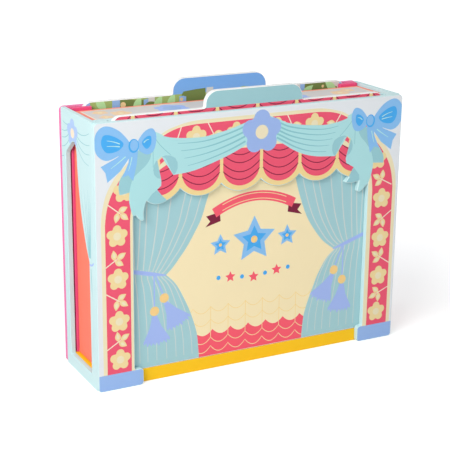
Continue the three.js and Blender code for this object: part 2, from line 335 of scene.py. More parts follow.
@dataclass(frozen=True)
class BoardFinish:
    """A painted or printed board surface: satin film over fine fibre, its rounded edges blended to an edge
    colour that stands for rubbed paint together with a painted highlight, and for painted shade where that
    colour is darker than the paint.
    """

    name: str
    colour: str
    # The colour the rounded edges are blended to, and how strongly: paler for rubbed paint together with a
    # painted highlight, darker where it stands for painted shade
    edge_wear_and_light_colour: str = "fdfdfb"
    edge_wear_and_light: float = 0.35
    mottle: float = 0.05
    grain: float = 0.03
    roughness: float = 0.46
    specular: float = 0.2
    relief: float = 0.06
    relief_depth: float = 0.3 * MM
    patchiness: float = 0.6
    face_axis: Axis = ALONG_Y
    stretch: Axis = (70.0, 70.0, 900.0)

    def material(self) -> bpy.types.Material:
        """Gives the finish's material, built the first time it is asked for.

        Returns:
            The material.
        """
        made = bpy.data.materials.get(self.name)
        if made is not None:
            return made
        made = bpy.data.materials.new(self.name)
        made.use_nodes = True
        made.diffuse_color = linear(self.colour)
        tree = made.node_tree
        shader = tree.nodes["Principled BSDF"]
        shader.inputs["Specular IOR Level"].default_value = self.specular
        surface = tree.nodes.new("ShaderNodeGroup")
        surface.node_tree = EFFECTS.board_surface
        surface.inputs["Colour"].default_value = linear(self.colour)
        surface.inputs["Mottle"].default_value = self.mottle
        surface.inputs["Grain"].default_value = self.grain
        surface.inputs["Stretch"].default_value = self.stretch
        surface.inputs["Sheen Roughness"].default_value = self.roughness
        colour = surface.outputs["Colour"]
        # The rounded edges are blended toward the edge colour: rubbed paint together with a painted
        # highlight, or painted shade where that colour is darker
        if self.edge_wear_and_light:
            edge = tree.nodes.new("ShaderNodeGroup")
            edge.node_tree = EFFECTS.rounded_edge
            edge.inputs["Face Axis"].default_value = self.face_axis
            edge.inputs["Patchiness"].default_value = self.patchiness
            wear_and_light_share = maths(tree, "MULTIPLY", edge.outputs["Mask"], self.edge_wear_and_light)
            colour = blend_colours(tree, wear_and_light_share, colour, linear(self.edge_wear_and_light_colour))
        tree.links.new(colour, shader.inputs["Base Color"])
        tree.links.new(surface.outputs["Roughness"], shader.inputs["Roughness"])
        bump = tree.nodes.new("ShaderNodeBump")
        bump.inputs["Strength"].default_value = self.relief
        bump.inputs["Distance"].default_value = self.relief_depth
        tree.links.new(surface.outputs["Height"], bump.inputs["Height"])
        tree.links.new(bump.outputs["Normal"], shader.inputs["Normal"])
        return made


def ink_finish(ink: Ink) -> BoardFinish:
    """Gives the finish of one ink: smooth printed paper, with no tinted edge of wear and painted light."""
    return BoardFinish(f"ink_{ink.name.lower()}", ink.value, edge_wear_and_light=0.0, mottle=0.035, grain=0.012,
                       roughness=0.5, relief=0.035)


MINT = BoardFinish("mint_paint", "cde9eb", edge_wear_and_light_colour="d6f1f2")
MINT_SIDE = replace(MINT, name="mint_side_paint", face_axis=ALONG_X)
# The right side panel's rounded edges are blended to a darker teal: painted shade on the edges that face away
# from the lamps
MINT_SIDE_SHADED_EDGES = replace(MINT_SIDE, name="mint_right_shaded_edge_paint", edge_wear_and_light_colour="98c9cd", edge_wear_and_light=0.75)
# A more cyan copy of the side paint for the faces inside the case and the rims of its openings: painted
# light, tinted against the reddish light reflected onto them
MINT_INSIDE_LIGHT_TINTED = replace(MINT_SIDE, name="mint_inside_light_tinted_paint", colour="c6eff4", edge_wear_and_light_colour="dff6f8")
PINK = BoardFinish("pink_paint", "f07fb3", edge_wear_and_light_colour="f8b2d1")
ROSE = BoardFinish("rose_paint", "ea5286", edge_wear_and_light_colour="f490b4")
AMBER = BoardFinish("amber_paint", "ffca1c", edge_wear_and_light_colour="ffe28c", face_axis=ALONG_Z,
                    stretch=(70.0, 900.0, 900.0))
ORANGE = BoardFinish("orange_paint", "ff7f66", edge_wear_and_light_colour="ffab98")
ORANGE_END = replace(ORANGE, name="orange_end_paint", face_axis=ALONG_X)
ORANGE_FLAT = replace(ORANGE, name="orange_lid_paint", face_axis=ALONG_Z)
WHITE_EDGE = BoardFinish("white_board_edge", "f6f6f4", edge_wear_and_light_colour="ffffff", edge_wear_and_light=0.3, roughness=0.6)


# Flat shapes, in millimetres


def spline(points: Points, closed: bool = False, steps: int = 5) -> Line:
    """Draws a smooth curve through points.

    Args:
        points: The points that it passes.
        closed: Whether it returns to the first one.
        steps: Straight pieces between two points.

    Returns:
        The curve's own points.
    """
    count = len(points)
    reach = count if closed else count - 1
    curve: Line = []
    for i in range(reach):
        if closed:
            a, b, c, d = (points[(i + k) % count] for k in (-1, 0, 1, 2))
        else:
            a, b = points[max(i - 1, 0)], points[i]
            c, d = points[i + 1], points[min(i + 2, count - 1)]
        for k in range(steps):
            t = k / steps
            curve.append(tuple(
                0.5 * (2 * b[n] + (c[n] - a[n]) * t + (2 * a[n] - 5 * b[n] + 4 * c[n] - d[n]) * t * t
                       + (3 * b[n] - a[n] - 3 * c[n] + d[n]) * t ** 3) for n in (0, 1)))
    if not closed:
        curve.append(points[-1])
    return curve


def mirrored(points: Points, middle: float = 0.0) -> Line:
    """Gives points mirrored left to right about an upright line, in backward order."""
    return [(2 * middle - x, z) for x, z in reversed(points)]


def block(left: float, right: float, low: float, high: float) -> Line:
    """Gives the outline of an upright rectangle."""
    return [(left, low), (right, low), (right, high), (left, high)]


def oval(centre: Point, across: float, up: float | None = None, points: int = 26) -> Line:
    """Draws a disc's or an oval's outline.

    Args:
        centre: Its middle.
        across: Half its width.
        up: Half its height, the same as across when left out.
        points: How many points the outline has.

    Returns:
        The outline.
    """
    up = across if up is None else up
    turns = (math.tau * k / points for k in range(points))
    return [(centre[0] + across * math.cos(t), centre[1] + up * math.sin(t)) for t in turns]


def blossom(centre: Point, reach: float, petal: float, petals: int = 5, turn: float = 90.0) -> Line:
    """Draws a flower's outline as the outer edge of round petals.

    Args:
        centre: The flower's middle.
        reach: From the middle to a petal's tip.
        petal: A petal's radius.
        petals: How many it has.
        turn: The direction of the first petal, in degrees.

    Returns:
        The outline.
    """
    steps = 9
    away = reach - petal
    outline: Line = []
    for k in range(petals * steps):
        off = (k % steps + 0.5) / steps - 0.5
        angle = off * math.tau / petals
        radius = away * math.cos(angle) + math.sqrt(max(petal ** 2 - (away * math.sin(angle)) ** 2, 0.0))
        whole = math.radians(turn) + angle + math.tau * (k // steps) / petals
        outline.append((centre[0] + radius * math.cos(whole), centre[1] + radius * math.sin(whole)))
    return outline


def leaf(base: Point, direction: float, length: float, width: float) -> Line:
    """Draws a pointed leaf.

    Args:
        base: Where it grows from.
        direction: Where it points, in degrees.
        length: From base to tip.
        width: Its widest part.

    Returns:
        The outline.
    """
    steps, taper = 8, 0.85
    along = [k / steps for k in range(steps + 1)]
    half = [0.5 * width * math.sin(math.pi * t ** taper) for t in along]
    flat = [(t * length, h) for t, h in zip(along, half)]
    flat += [(t * length, -h) for t, h in list(zip(along, half))[-2:0:-1]]
    c, s = math.cos(math.radians(direction)), math.sin(math.radians(direction))
    return [(base[0] + x * c - y * s, base[1] + x * s + y * c) for x, y in flat]


def star(centre: Point, reach: float, waist: float, points: int = 5) -> Line:
    """Draws the outline of a star that points upward.

    Args:
        centre: Its middle.
        reach: From the middle to a point.
        waist: From the middle to a notch, as a share of the reach.
        points: How many points it has.

    Returns:
        The outline.
    """
    outline: Line = []
    for k in range(2 * points):
        radius = reach if k % 2 == 0 else reach * waist
        angle = math.radians(90.0) + math.pi * k / points
        outline.append((centre[0] + radius * math.cos(angle), centre[1] + radius * math.sin(angle)))
    return outline


def brush(line: Line, width: float, end_width: float | None = None) -> Line:
    """Gives a line a width.

    Args:
        line: The points that it follows.
        width: Its width at the start.
        end_width: Its width at the end, the same when left out.

    Returns:
        The stroke's outline.
    """
    end_width = width if end_width is None else end_width
    left: Line = []
    right: Line = []
    last = len(line) - 1
    for i, (x, z) in enumerate(line):
        before, after = line[max(i - 1, 0)], line[min(i + 1, last)]
        dx, dz = after[0] - before[0], after[1] - before[1]
        size = math.hypot(dx, dz) or 1.0
        half = 0.5 * (width + (end_width - width) * i / last)
        left.append((x - dz / size * half, z + dx / size * half))
        right.append((x + dz / size * half, z - dx / size * half))
    return left + right[::-1]


def between(one: Line, other: Line, share: float) -> Line:
    """Gives the line that lies a share of the way from one line to another with as many points."""
    return [(a[0] + (b[0] - a[0]) * share, a[1] + (b[1] - a[1]) * share) for a, b in zip(one, other)]


def resampled(line: Line, count: int) -> Line:
    """Spreads points evenly along a line.

    Args:
        line: The line's points.
        count: How many points to give back.

    Returns:
        The new points, with the same ends.
    """
    lengths = [0.0]
    for a, b in zip(line, line[1:]):
        lengths.append(lengths[-1] + math.dist(a, b))
    spread: Line = []
    i = 0
    for k in range(count):
        want = lengths[-1] * k / (count - 1)
        while i < len(line) - 2 and lengths[i + 1] < want:
            i += 1
        share = (want - lengths[i]) / max(lengths[i + 1] - lengths[i], TINY)
        spread.append((line[i][0] + (line[i + 1][0] - line[i][0]) * share,
                       line[i][1] + (line[i + 1][1] - line[i][1]) * share))
    return spread


@dataclass
class Artwork:
    """Ink shapes of one printed face, in millimetres. A later shape covers an earlier one."""

    ground: Ink
    shapes: list[tuple[Line, Ink]] = field(default_factory=list)

    def fill(self, outline: Points, ink: Ink) -> None:
        """Adds a filled shape, its outline turned counterclockwise.

        Args:
            outline: Its corners.
            ink: Its ink.
        """
        corners = list(outline)
        area = sum(a[0] * b[1] - b[0] * a[1] for a, b in zip(corners, corners[1:] + corners[:1]))
        self.shapes.append((corners if area > 0 else corners[::-1], ink))

    def stroke(self, line: Line, width: float, ink: Ink, end_width: float | None = None) -> None:
        """Adds a brush stroke."""
        self.fill(brush(line, width, end_width), ink)


# Boards


class Facing(Enum):
    """A board's face: the axis it looks along, which way, and the axes across and up its print."""

    FRONT = (1, -1, 0, 2)
    BACK = (1, 1, 0, 2)
    LEFT = (0, -1, 1, 2)
    RIGHT = (0, 1, 1, 2)
    TOP = (2, 1, 0, 1)


class Board:
    """One board of the stand, on the shape of its CAD node, painted and then printed on its faces."""

    def __init__(self, node: str, paint: BoardFinish) -> None:
        """Copies the node's shape.

        Args:
            node: The CAD node's name.
            paint: The finish of its edges and of every face that has no print.
        """
        self.node = node
        self.mesh_data = bmesh.new()
        self.mesh_data.from_mesh(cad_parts[node].data)
        bmesh.ops.remove_doubles(self.mesh_data, verts=self.mesh_data.verts, dist=WELD)
        for face in self.mesh_data.faces:
            face.material_index = 0
        self.materials = [paint.material()]

    def slot_of(self, ink: Ink) -> int:
        """Finds an ink among the board's materials and adds it when it is new.

        Args:
            ink: The ink.

        Returns:
            Its material index.
        """
        material = ink_finish(ink).material()
        if material not in self.materials:
            self.materials.append(material)
        return self.materials.index(material)

    def face_box(self, facing: Facing) -> tuple[Point, Point]:
        """Measures a face across and up its print, in millimetres.

        Args:
            facing: Which face.

        Returns:
            Its lowest and highest corner.
        """
        _, _, across, up = facing.value
        low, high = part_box(self.node)
        return (low[across] / MM, low[up] / MM), (high[across] / MM, high[up] / MM)

    def paint_inside(self, paint: BoardFinish) -> None:
        """Gives the face that looks into the case and the rims of the board's openings their own finish.

        Args:
            paint: Their finish.
        """
        low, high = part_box(self.node)
        thin = min(range(3), key=lambda n: high[n] - low[n])
        self.materials.append(paint.material())
        self.mesh_data.normal_update()
        for face in self.mesh_data.faces:
            place = face.calc_center_median()
            within = all(low[n] + RIM_MARGIN < place[n] < high[n] - RIM_MARGIN for n in range(3) if n != thin)
            rim = within and abs(face.normal[thin]) < FLAT_FROM
            inward = abs(face.normal[thin]) > FLAT_FROM and face.normal[thin] * (low[thin] + high[thin]) < 0
            if rim or inward:
                face.material_index = len(self.materials) - 1

    def print_face(self, facing: Facing, art: Artwork) -> None:
        """Divides one flat face of the board along the outlines of its print.

        Args:
            facing: Which face.
            art: The print's shapes.
        """
        # The flat face gives way, and the open edges that it leaves are its rim and its openings
        mesh = self.mesh_data
        axis, sign, across, up = facing.value
        level = max(sign * v.co[axis] for v in mesh.verts)
        mesh.normal_update()
        flat = [f for f in mesh.faces if sign * f.normal[axis] > PRINTED_FROM
                and all(sign * v.co[axis] > level - WELD for v in f.verts)]
        bmesh.ops.delete(mesh, geom=flat, context="FACES")
        rim_edges = [e for e in mesh.edges if len(e.link_faces) == 1]
        loops = self._loops(rim_edges)
        coordinates: list[Vector] = []
        faces: list[list[int]] = []
        rim: list[Corner] = []
        areas: list[float] = []
        for loop in loops:
            flat_loop = [(v.co[across] / MM, v.co[up] / MM) for v in loop]
            area = sum(a[0] * b[1] - b[0] * a[1] for a, b in zip(flat_loop, flat_loop[1:] + flat_loop[:1]))
            if area < 0:
                loop = loop[::-1]
                flat_loop = flat_loop[::-1]
            areas.append(abs(area))
            faces.append(list(range(len(rim), len(rim) + len(loop))))
            rim.extend(loop)
            coordinates.extend(Vector(p) for p in flat_loop)
        whole = areas.index(max(areas))
        holes = {i for i in range(len(loops)) if i != whole}
        first_shape = len(faces)
        for outline, _ in art.shapes:
            faces.append(list(range(len(coordinates), len(coordinates) + len(outline))))
            coordinates.extend(Vector(p) for p in outline)
        # Each part of the divided face takes the ink of the last shape that covers it
        places, _, parts, from_place, _, from_face = delaunay_2d_cdt(
            coordinates, [], faces, 0, PRINT_WELD, True)
        kept: list[tuple[list[int], int]] = []
        for part, sources in zip(parts, from_face):
            if whole in sources and not holes.intersection(sources):
                top = max((s for s in sources if s >= first_shape), default=None)
                ink = art.ground if top is None else art.shapes[top - first_shape][1]
                kept.append((list(part), self.slot_of(ink)))
        corner_of = self._corners(places, from_place, kept, rim, rim_edges, (axis, across, up), sign * level)
        outward = Vector([sign if n == axis else 0 for n in range(3)])
        a, b = Vector((0, 0, 0)), Vector((0, 0, 0))
        a[across], b[up] = 1, 1
        backward = a.cross(b).dot(outward) < 0
        for part, index in kept:
            corners = [corner_of[i] for i in (part[::-1] if backward else part)]
            mesh.faces.new(corners).material_index = index

    @staticmethod
    def _loops(edges: list[Edge]) -> list[list[Corner]]:
        """Follows open edges round.

        Args:
            edges: The edges, which form closed loops.

        Returns:
            Each loop's corners in order.
        """
        meeting: dict[Corner, list[Corner]] = {}
        for edge in edges:
            one, other = edge.verts
            meeting.setdefault(one, []).append(other)
            meeting.setdefault(other, []).append(one)
        loops = []
        seen: set[Corner] = set()
        for start in meeting:
            if start in seen:
                continue
            loop = [start]
            seen.add(start)
            while True:
                ahead = [v for v in meeting[loop[-1]] if v not in seen]
                if not ahead:
                    break
                loop.append(ahead[0])
                seen.add(ahead[0])
            loops.append(loop)
        return loops

    def _corners(self, places: list[Vector], from_place: list[list[int]], kept: list[tuple[list[int], int]],
                 rim: list[Corner], rim_edges: list[Edge],
                 axes: tuple[int, int, int], level: float) -> dict[int, Corner]:
        """Matches the print's points to corners of the board, adding those that are new.

        Args:
            places: The print's points.
            from_place: For each one, the given points that it stands for.
            kept: The parts that lie on the board.
            rim: The corners of the face's outline, in the order given.
            rim_edges: The edges between them.
            axes: The axis that the face looks along and those across and up.
            level: The face's place on the first axis, in metres.

        Returns:
            The board's corner for each point in use.
        """
        mesh = self.mesh_data
        axis, across, up = axes
        corner_of: dict[int, Corner] = {}
        for i, sources in enumerate(from_place):
            own = [s for s in sources if s < len(rim)]
            if own:
                corner_of[i] = rim[own[0]]
        index_of = {corner: i for i, corner in corner_of.items()}
        pairs = {(p[k - 1], p[k]) for p, _ in kept for k in range(len(p))}
        onward = {a: b for a, b in pairs if (b, a) not in pairs}

        def in_space(i: int) -> Vector:
            """Gives a point's place in metres."""
            along = {axis: level, across: places[i][0] * MM, up: places[i][1] * MM}
            return Vector([along[n] for n in range(3)])

        for edge in rim_edges:
            for start, end in (edge.verts, reversed(edge.verts)):
                chain = []
                i = onward.get(index_of[start])
                while i is not None and i not in corner_of:
                    chain.append(i)
                    i = onward.get(i)
                if i is not None and corner_of[i] is end:
                    break
            else:
                continue
            rest, here = edge, start
            for i in chain:
                place = in_space(i)
                share = (place - here.co).length / max((end.co - here.co).length, TINY)
                _, made = bmesh.utils.edge_split(rest, here, min(max(share, 0.0), 1.0))
                made.co = place
                corner_of[i] = made
                rest, here = mesh.edges.get((made, end)), made
        for part, _ in kept:
            for i in part:
                if i not in corner_of:
                    corner_of[i] = mesh.verts.new(in_space(i))
        return corner_of

    def finish(self, body: str, slot: str) -> bpy.types.Object:
        """Makes the board's object and puts it in its CAD node's place.

        Args:
            body: The CAD body that it moves with.
            slot: Not used.

        Returns:
            The finished piece.
        """
        mesh = self.mesh_data
        name = f"finished_{self.node}"
        mesh.normal_update()
        open_edges = sum(1 for e in mesh.edges if len(e.link_faces) != 2 or not e.is_contiguous)
        data = bpy.data.meshes.new(name)
        mesh.to_mesh(data)
        mesh.free()
        for material in self.materials:
            data.materials.append(material)
        soften(data)
        piece = bpy.data.objects.new(name, data)
        bpy.context.scene.collection.objects.link(piece)
        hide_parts(self.node)
        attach(piece, body)
        LOG.info("%s: %d faces, %d materials, %d open edges", name, len(data.polygons), len(data.materials),
                 open_edges)
        return piece


def soften(data: bpy.types.Mesh, smooth_within: float = 50.0) -> None:
    """Shades a board's rounded edges smoothly between flat faces that stay flat.

    Args:
        data: The mesh.
        smooth_within: The largest angle between faces that are shaded as one, in degrees.
    """
    limit = math.cos(math.radians(smooth_within))
    spans = [max(v.co[n] for v in data.vertices) - min(v.co[n] for v in data.vertices) for n in range(3)]
    axis = spans.index(min(spans))
    normals = [Vector(p.normal) for p in data.polygons]
    rounding = [ROUNDED_FROM < abs(n[axis]) < FLAT_FROM for n in normals]
    touching: list[list[int]] = [[] for _ in data.vertices]
    for p in data.polygons:
        for v in p.vertices:
            touching[v].append(p.index)
    shaded: list[Vector] = [Vector((0, 0, 1))] * len(data.loops)
    for p in data.polygons:
        mine = normals[p.index]
        for loop in p.loop_indices:
            near = [q for q in touching[data.loops[loop].vertex_index] if normals[q].dot(mine) > limit]
            plain = [q for q in near if not rounding[q]] or near
            ways = {tuple(round(c, 3) for c in normals[q]): normals[q] for q in plain}
            shaded[loop] = sum(ways.values(), Vector((0, 0, 0))).normalized()
    data.shade_smooth()
    data.normals_split_custom_set(shaded)


# Prints, in millimetres on the face that they are printed on


def drape_lines(art: Artwork, upper: Points, lower: Points, shares: tuple[float, ...],
                keep: tuple[float, float]) -> None:
    """Draws fold lines that fan out between two edges of a swag.

    Args:
        art: The print.
        upper: The swag's upper edge.
        lower: Its lower edge.
        shares: Where each fold lies between them.
        keep: The part of each fold's length that is drawn.
    """
    count, width, end_width = 30, 2.1, 0.6
    above, below = resampled(spline(upper), count), resampled(spline(lower), count)
    first, last = (round(k * (count - 1)) for k in keep)
    for share in shares:
        art.stroke(between(above, below, share)[first:last + 1], width, Ink.SWAG_FOLD, end_width)


def scallops(art: Artwork, cusps: list[float], cusp_height: float, valley: float, foot: float,
             ink: Ink) -> None:
    """Fills a band with one straight edge and one that hangs in scallops.

    Args:
        art: The print.
        cusps: The places across of the points between the scallops.
        cusp_height: Their height.
        valley: The height of each scallop's lowest part.
        foot: The height of the straight edge.
        ink: The band's ink.
    """
    art.fill([(cusps[-1], foot), *reversed(scallop_line(cusps, cusp_height, valley)), (cusps[0], foot)], ink)


def scallop_line(cusps: list[float], cusp_height: float, valley: float) -> Line:
    """Draws a line that hangs in arcs from point to point.

    Args:
        cusps: The places across of the points between the arcs.
        cusp_height: Their height.
        valley: The height of each arc's lowest part.

    Returns:
        The line, from left to right.
    """
    steps = 9
    line: Line = []
    for a, b in zip(cusps, cusps[1:]):
        for k in range(steps):
            t = k / steps
            line.append((a + (b - a) * t, cusp_height - (cusp_height - valley) * 4 * t * (1 - t)))
    return [*line, (cusps[-1], cusp_height)]


def height_at(line: Line, across: float) -> float:
    """Gives the height of a line that runs from left to right.

    Args:
        line: The line's points.
        across: Where the height is wanted.

    Returns:
        The height there, or that of the nearer end.
    """
    for (x0, z0), (x1, z1) in zip(line, line[1:]):
        if x0 <= across <= x1:
            return z0 + (z1 - z0) * (across - x0) / (x1 - x0)
    return line[0][1] if across < line[0][0] else line[-1][1]


def hills(art: Artwork, skyline: Points, ink: Ink) -> None:
    """Fills everything below a rolling line."""
    art.fill([*spline(skyline), (PRINT_HALF, 0), (-PRINT_HALF, 0)], ink)


def hand_tab(art: Artwork, ink: Ink, half_width: float = 64.5) -> None:
    """Fills the hand tab above a lift-out board's shoulders."""
    art.fill(block(-half_width, half_width, SHOULDER, PRINT_TOP), ink)


@dataclass(frozen=True)
class ValancePrint:
    """Red cloth looped between gold bars, with dark folds."""

    half_width: float = 22.8
    bottom: float = 215.0
    shoulder: float = 236.0
    top: float = 272.0
    folds: tuple[float, ...] = (222.0, 230.7, 241.0, 250.0)
    fold_rise: float = 11.0
    fold_width: float = 1.0
    bowl_steps: int = 18
    fold_steps: int = 8

    def draw(self, art: Artwork, middles: Sequence[float]) -> None:
        """Draws each loop of cloth.

        Args:
            art: The print.
            middles: The loops' middles.
        """
        turns = [math.pi * k / self.bowl_steps for k in range(self.bowl_steps + 1)]
        shares = [k / self.fold_steps - 1 for k in range(2 * self.fold_steps + 1)]
        drop = self.shoulder - self.bottom
        for c in middles:
            bowl = [(c - self.half_width * math.cos(a), self.shoulder - drop * math.sin(a)) for a in turns]
            art.fill([(c - self.half_width, self.top), *bowl, (c + self.half_width, self.top)], Ink.CRIMSON)
            for height in self.folds:
                hang = [(c + self.half_width * u, height + self.fold_rise * u * u) for u in shares]
                art.stroke(hang, self.fold_width, Ink.MAROON)


@dataclass(frozen=True)
class BowPrint:
    """Ribbon bow that ties up one end of the drapery, its places measured from its knot."""

    outer_loop: Shape = (
        (-4, 3), (-16, 15), (-31, 20), (-41, 13), (-41, -3), (-30, -11), (-14, -7), (-4, -3))
    inner_loop: Shape = ((4, 3), (12, 12), (21, 14), (25, 6), (22, -6), (14, -9), (4, -3))
    outer_tail: Shape = ((-5, -1), (-18, -9), (-36, -16), (-31, -22), (-29, -31), (-15, -22), (-1, -6))
    inner_tail: Shape = ((-4, -3), (-6, -15), (-13, -28), (-6.5, -26), (-1, -32), (3, -17), (5, -3))
    outer_hollow: Shape = ((-11, 3), (-21, 10), (-32, 12), (-35, 4), (-29, -4), (-17, -3))
    inner_hollow: Shape = ((9, 2), (14, 7), (19, 7), (19, 0), (14, -4))
    shines: tuple[Shape, ...] = (
        ((-15, 3), (-22, 5.5), (-29, 7)), ((-15, 0.5), (-22, 1.5), (-29, 2)),
        ((-9, -9), (-17, -14), (-25, -18.5)), ((-2, -10), (-4, -17), (-6, -22)),
        ((11, 2), (14, 4), (17, 4.5)))
    shine_width: float = 1.3
    shine_end: float = 0.5
    knot_size: Point = (6.0, 7.5)
    knot_front: Point = (4.6, 6.0)
    knot_shift: float = 0.5
    across: float = 1.04
    up: float = 1.18

    def draw(self, art: Artwork, knot: Point, hand: int) -> None:
        """Draws the bow.

        Args:
            art: The print.
            knot: The knot's middle.
            hand: One for the left end, minus one for the right.
        """
        def placed(points: Points) -> Line:
            """Puts points round the knot."""
            return [(knot[0] + hand * self.across * x, knot[1] + self.up * z) for x, z in points]

        for outline in (self.outer_tail, self.inner_tail):
            art.fill(placed(outline), Ink.RIBBON)
        for outline in (self.outer_loop, self.inner_loop):
            art.fill(placed(spline(outline, closed=True)), Ink.RIBBON)
        for outline in (self.outer_hollow, self.inner_hollow):
            art.fill(placed(spline(outline, closed=True)), Ink.RIBBON_DEEP)
        for line in self.shines:
            art.stroke(placed(spline(line)), self.shine_width, Ink.RIBBON_SHINE, self.shine_end)
        art.fill(oval(knot, *self.knot_size), Ink.RIBBON_DEEP)
        front = (knot[0] + hand * self.knot_shift, knot[1] + self.knot_shift)
        art.fill(oval(front, *self.knot_front), Ink.RIBBON)


@dataclass(frozen=True)
class SprigPrint:
    """Three leaves on a stem that grows out of a band's edge."""

    leaf_width: float = 6.9
    # Each leaf's turn from the stem in degrees, its gap from the middle and its length
    leaves: tuple[tuple[float, float, float], ...] = ((65.0, 0.3, 11.9), (0.0, 2.9, 12.3), (-62.0, 0.3, 11.6))
    heart_from: float = 0.24
    heart_length: float = 0.55
    heart_width: float = 0.45
    stem_width: float = 1.2
    vein: float = 4.0
    vein_width: float = 1.0

    def draw(self, art: Artwork, middle: Point, root: Point, hand: int) -> None:
        """Draws the sprig.

        Args:
            art: The print.
            middle: Where the leaves meet.
            root: Where the stem starts.
            hand: One or minus one, the side of the steeper leaf.
        """
        away = math.degrees(math.atan2(middle[1] - root[1], middle[0] - root[0]))
        art.stroke([root, middle], self.stem_width, Ink.STEM)
        for turn, gap, length in self.leaves:
            direction = away + hand * turn
            c, s = math.cos(math.radians(direction)), math.sin(math.radians(direction))
            base = (middle[0] + gap * c, middle[1] + gap * s)
            art.fill(leaf(base, direction, length, self.leaf_width), Ink.BLOSSOM)
            inner = (base[0] + self.heart_from * length * c, base[1] + self.heart_from * length * s)
            heart = leaf(inner, direction, self.heart_length * length, self.heart_width * self.leaf_width)
            art.fill(heart, Ink.BLOSSOM_HEART)
        c, s = math.cos(math.radians(away)), math.sin(math.radians(away))
        art.stroke([root, (middle[0] + self.vein * c, middle[1] + self.vein * s)], self.vein_width, Ink.STEM)


@dataclass(frozen=True)
class Hanging:
    """A swag and the tail beside it, at one side of the proscenium."""

    hand: int
    shade: Shape
    shade_front: Shape
    upper: Shape
    lower: Shape
    join: Point
    tail: Shape
    tail_front: Shape
    turned: tuple[Shape, ...]
    fold_shares: tuple[float, ...]
    fold_keep: tuple[float, float]
    crease: float
    creases: tuple[Shape, ...] = (
        ((0, 284), (6, 274), (13, 266), (21, 258.5)), ((-1, 282), (0.5, 266), (0.5, 247)))
    crease_width: float = 0.7


LEFT_HANGING = Hanging(
    hand=1,
    shade=((-127, 286), (-146, 262), (-157, 247), (-163.4, 238), (-165.2, 229), (-164.2, 221)),
    shade_front=((-153, 222.5), (-140, 225), (-128, 258)),
    upper=((-122, 284), (-114, 280), (-100, 276.5), (-75, 274.3), (-60, 275), (-50, 276.6), (-30, 281),
           (-10, 287)),
    lower=((-102, 236.2), (-85, 237.2), (-70, 240), (-50, 246), (-30, 253), (-8, 263)),
    join=(-115.5, 257.5),
    tail=((-127, 286), (-127.5, 262), (-132, 252), (-140, 245), (-148, 238), (-152, 228), (-153.5, 215),
          (-152, 205), (-149.6, 197)),
    tail_front=((-149, 193), (-149.5, 165), (-126, 165), (-131, 195), (-133.4, 210.3), (-127, 218),
                (-121, 222), (-116.2, 226), (-116, 231), (-118.3, 243), (-120.5, 254), (-115.5, 257.5),
                (-114, 281), (-122, 285)),
    turned=(((-115.5, 257.5), (-111.5, 256), (-107, 247), (-102, 236.2), (-99, 238), (-96.8, 243),
             (-96.8, 249), (-99.5, 254.5), (-105, 257.8), (-111, 258.6)),
            ((-120.5, 254), (-118.3, 243), (-116.3, 233.4), (-120.5, 234.5), (-124.2, 238.5), (-125.4, 244),
             (-124.5, 249.5), (-122, 253.5)),
            ((-133.4, 210.3), (-134, 200), (-105, 200), (-109, 208.7), (-115.5, 215), (-121, 222),
             (-127, 218))),
    fold_shares=(0.16, 0.38, 0.6, 0.82),
    fold_keep=(0.08, 0.8),
    crease=-126)
RIGHT_HANGING = Hanging(
    hand=-1,
    shade=((129, 286), (146, 262), (157.8, 247), (165, 236.5), (169, 228), (168.8, 221)),
    shade_front=((155, 222.3), (142, 225), (131, 258)),
    upper=((127, 284.3), (119, 279.3), (106.3, 275.7), (92, 273.6), (77.7, 273.9), (56.3, 276.4), (39, 280),
           (27.7, 285), (12, 291.5)),
    lower=((102, 235.7), (77.7, 237.9), (60.6, 242.1), (46.3, 248.6), (34.9, 255.7), (20, 264)),
    join=(117.5, 257.5),
    tail=((129, 286), (133.4, 260), (143.4, 247), (151.4, 235.7), (154.6, 221.4), (152.2, 207), (148.6, 198)),
    tail_front=((149, 193), (149.5, 170), (130, 170), (136.6, 202), (136, 210), (127.7, 220), (117.4, 226),
                (116.5, 231), (119.6, 243), (122.3, 254), (117.5, 257.5), (117, 281), (127, 285.5)),
    turned=(((117.5, 257.5), (113.5, 256), (108, 247), (102, 235.7), (99.5, 238), (97.6, 243), (97.8, 249),
             (100.5, 254.5), (106.5, 257.8), (113, 258.6)),
            ((122.3, 254), (119.6, 243), (117, 234), (121.5, 236.5), (124.6, 241), (125.4, 246),
             (124.4, 251)),
            ((127.7, 220), (136, 210), (136.6, 202), (136, 192), (112, 192), (118, 203), (123, 212))),
    fold_shares=(0.14, 0.32, 0.5, 0.68, 0.86),
    fold_keep=(0.08, 0.82),
    crease=128.5)


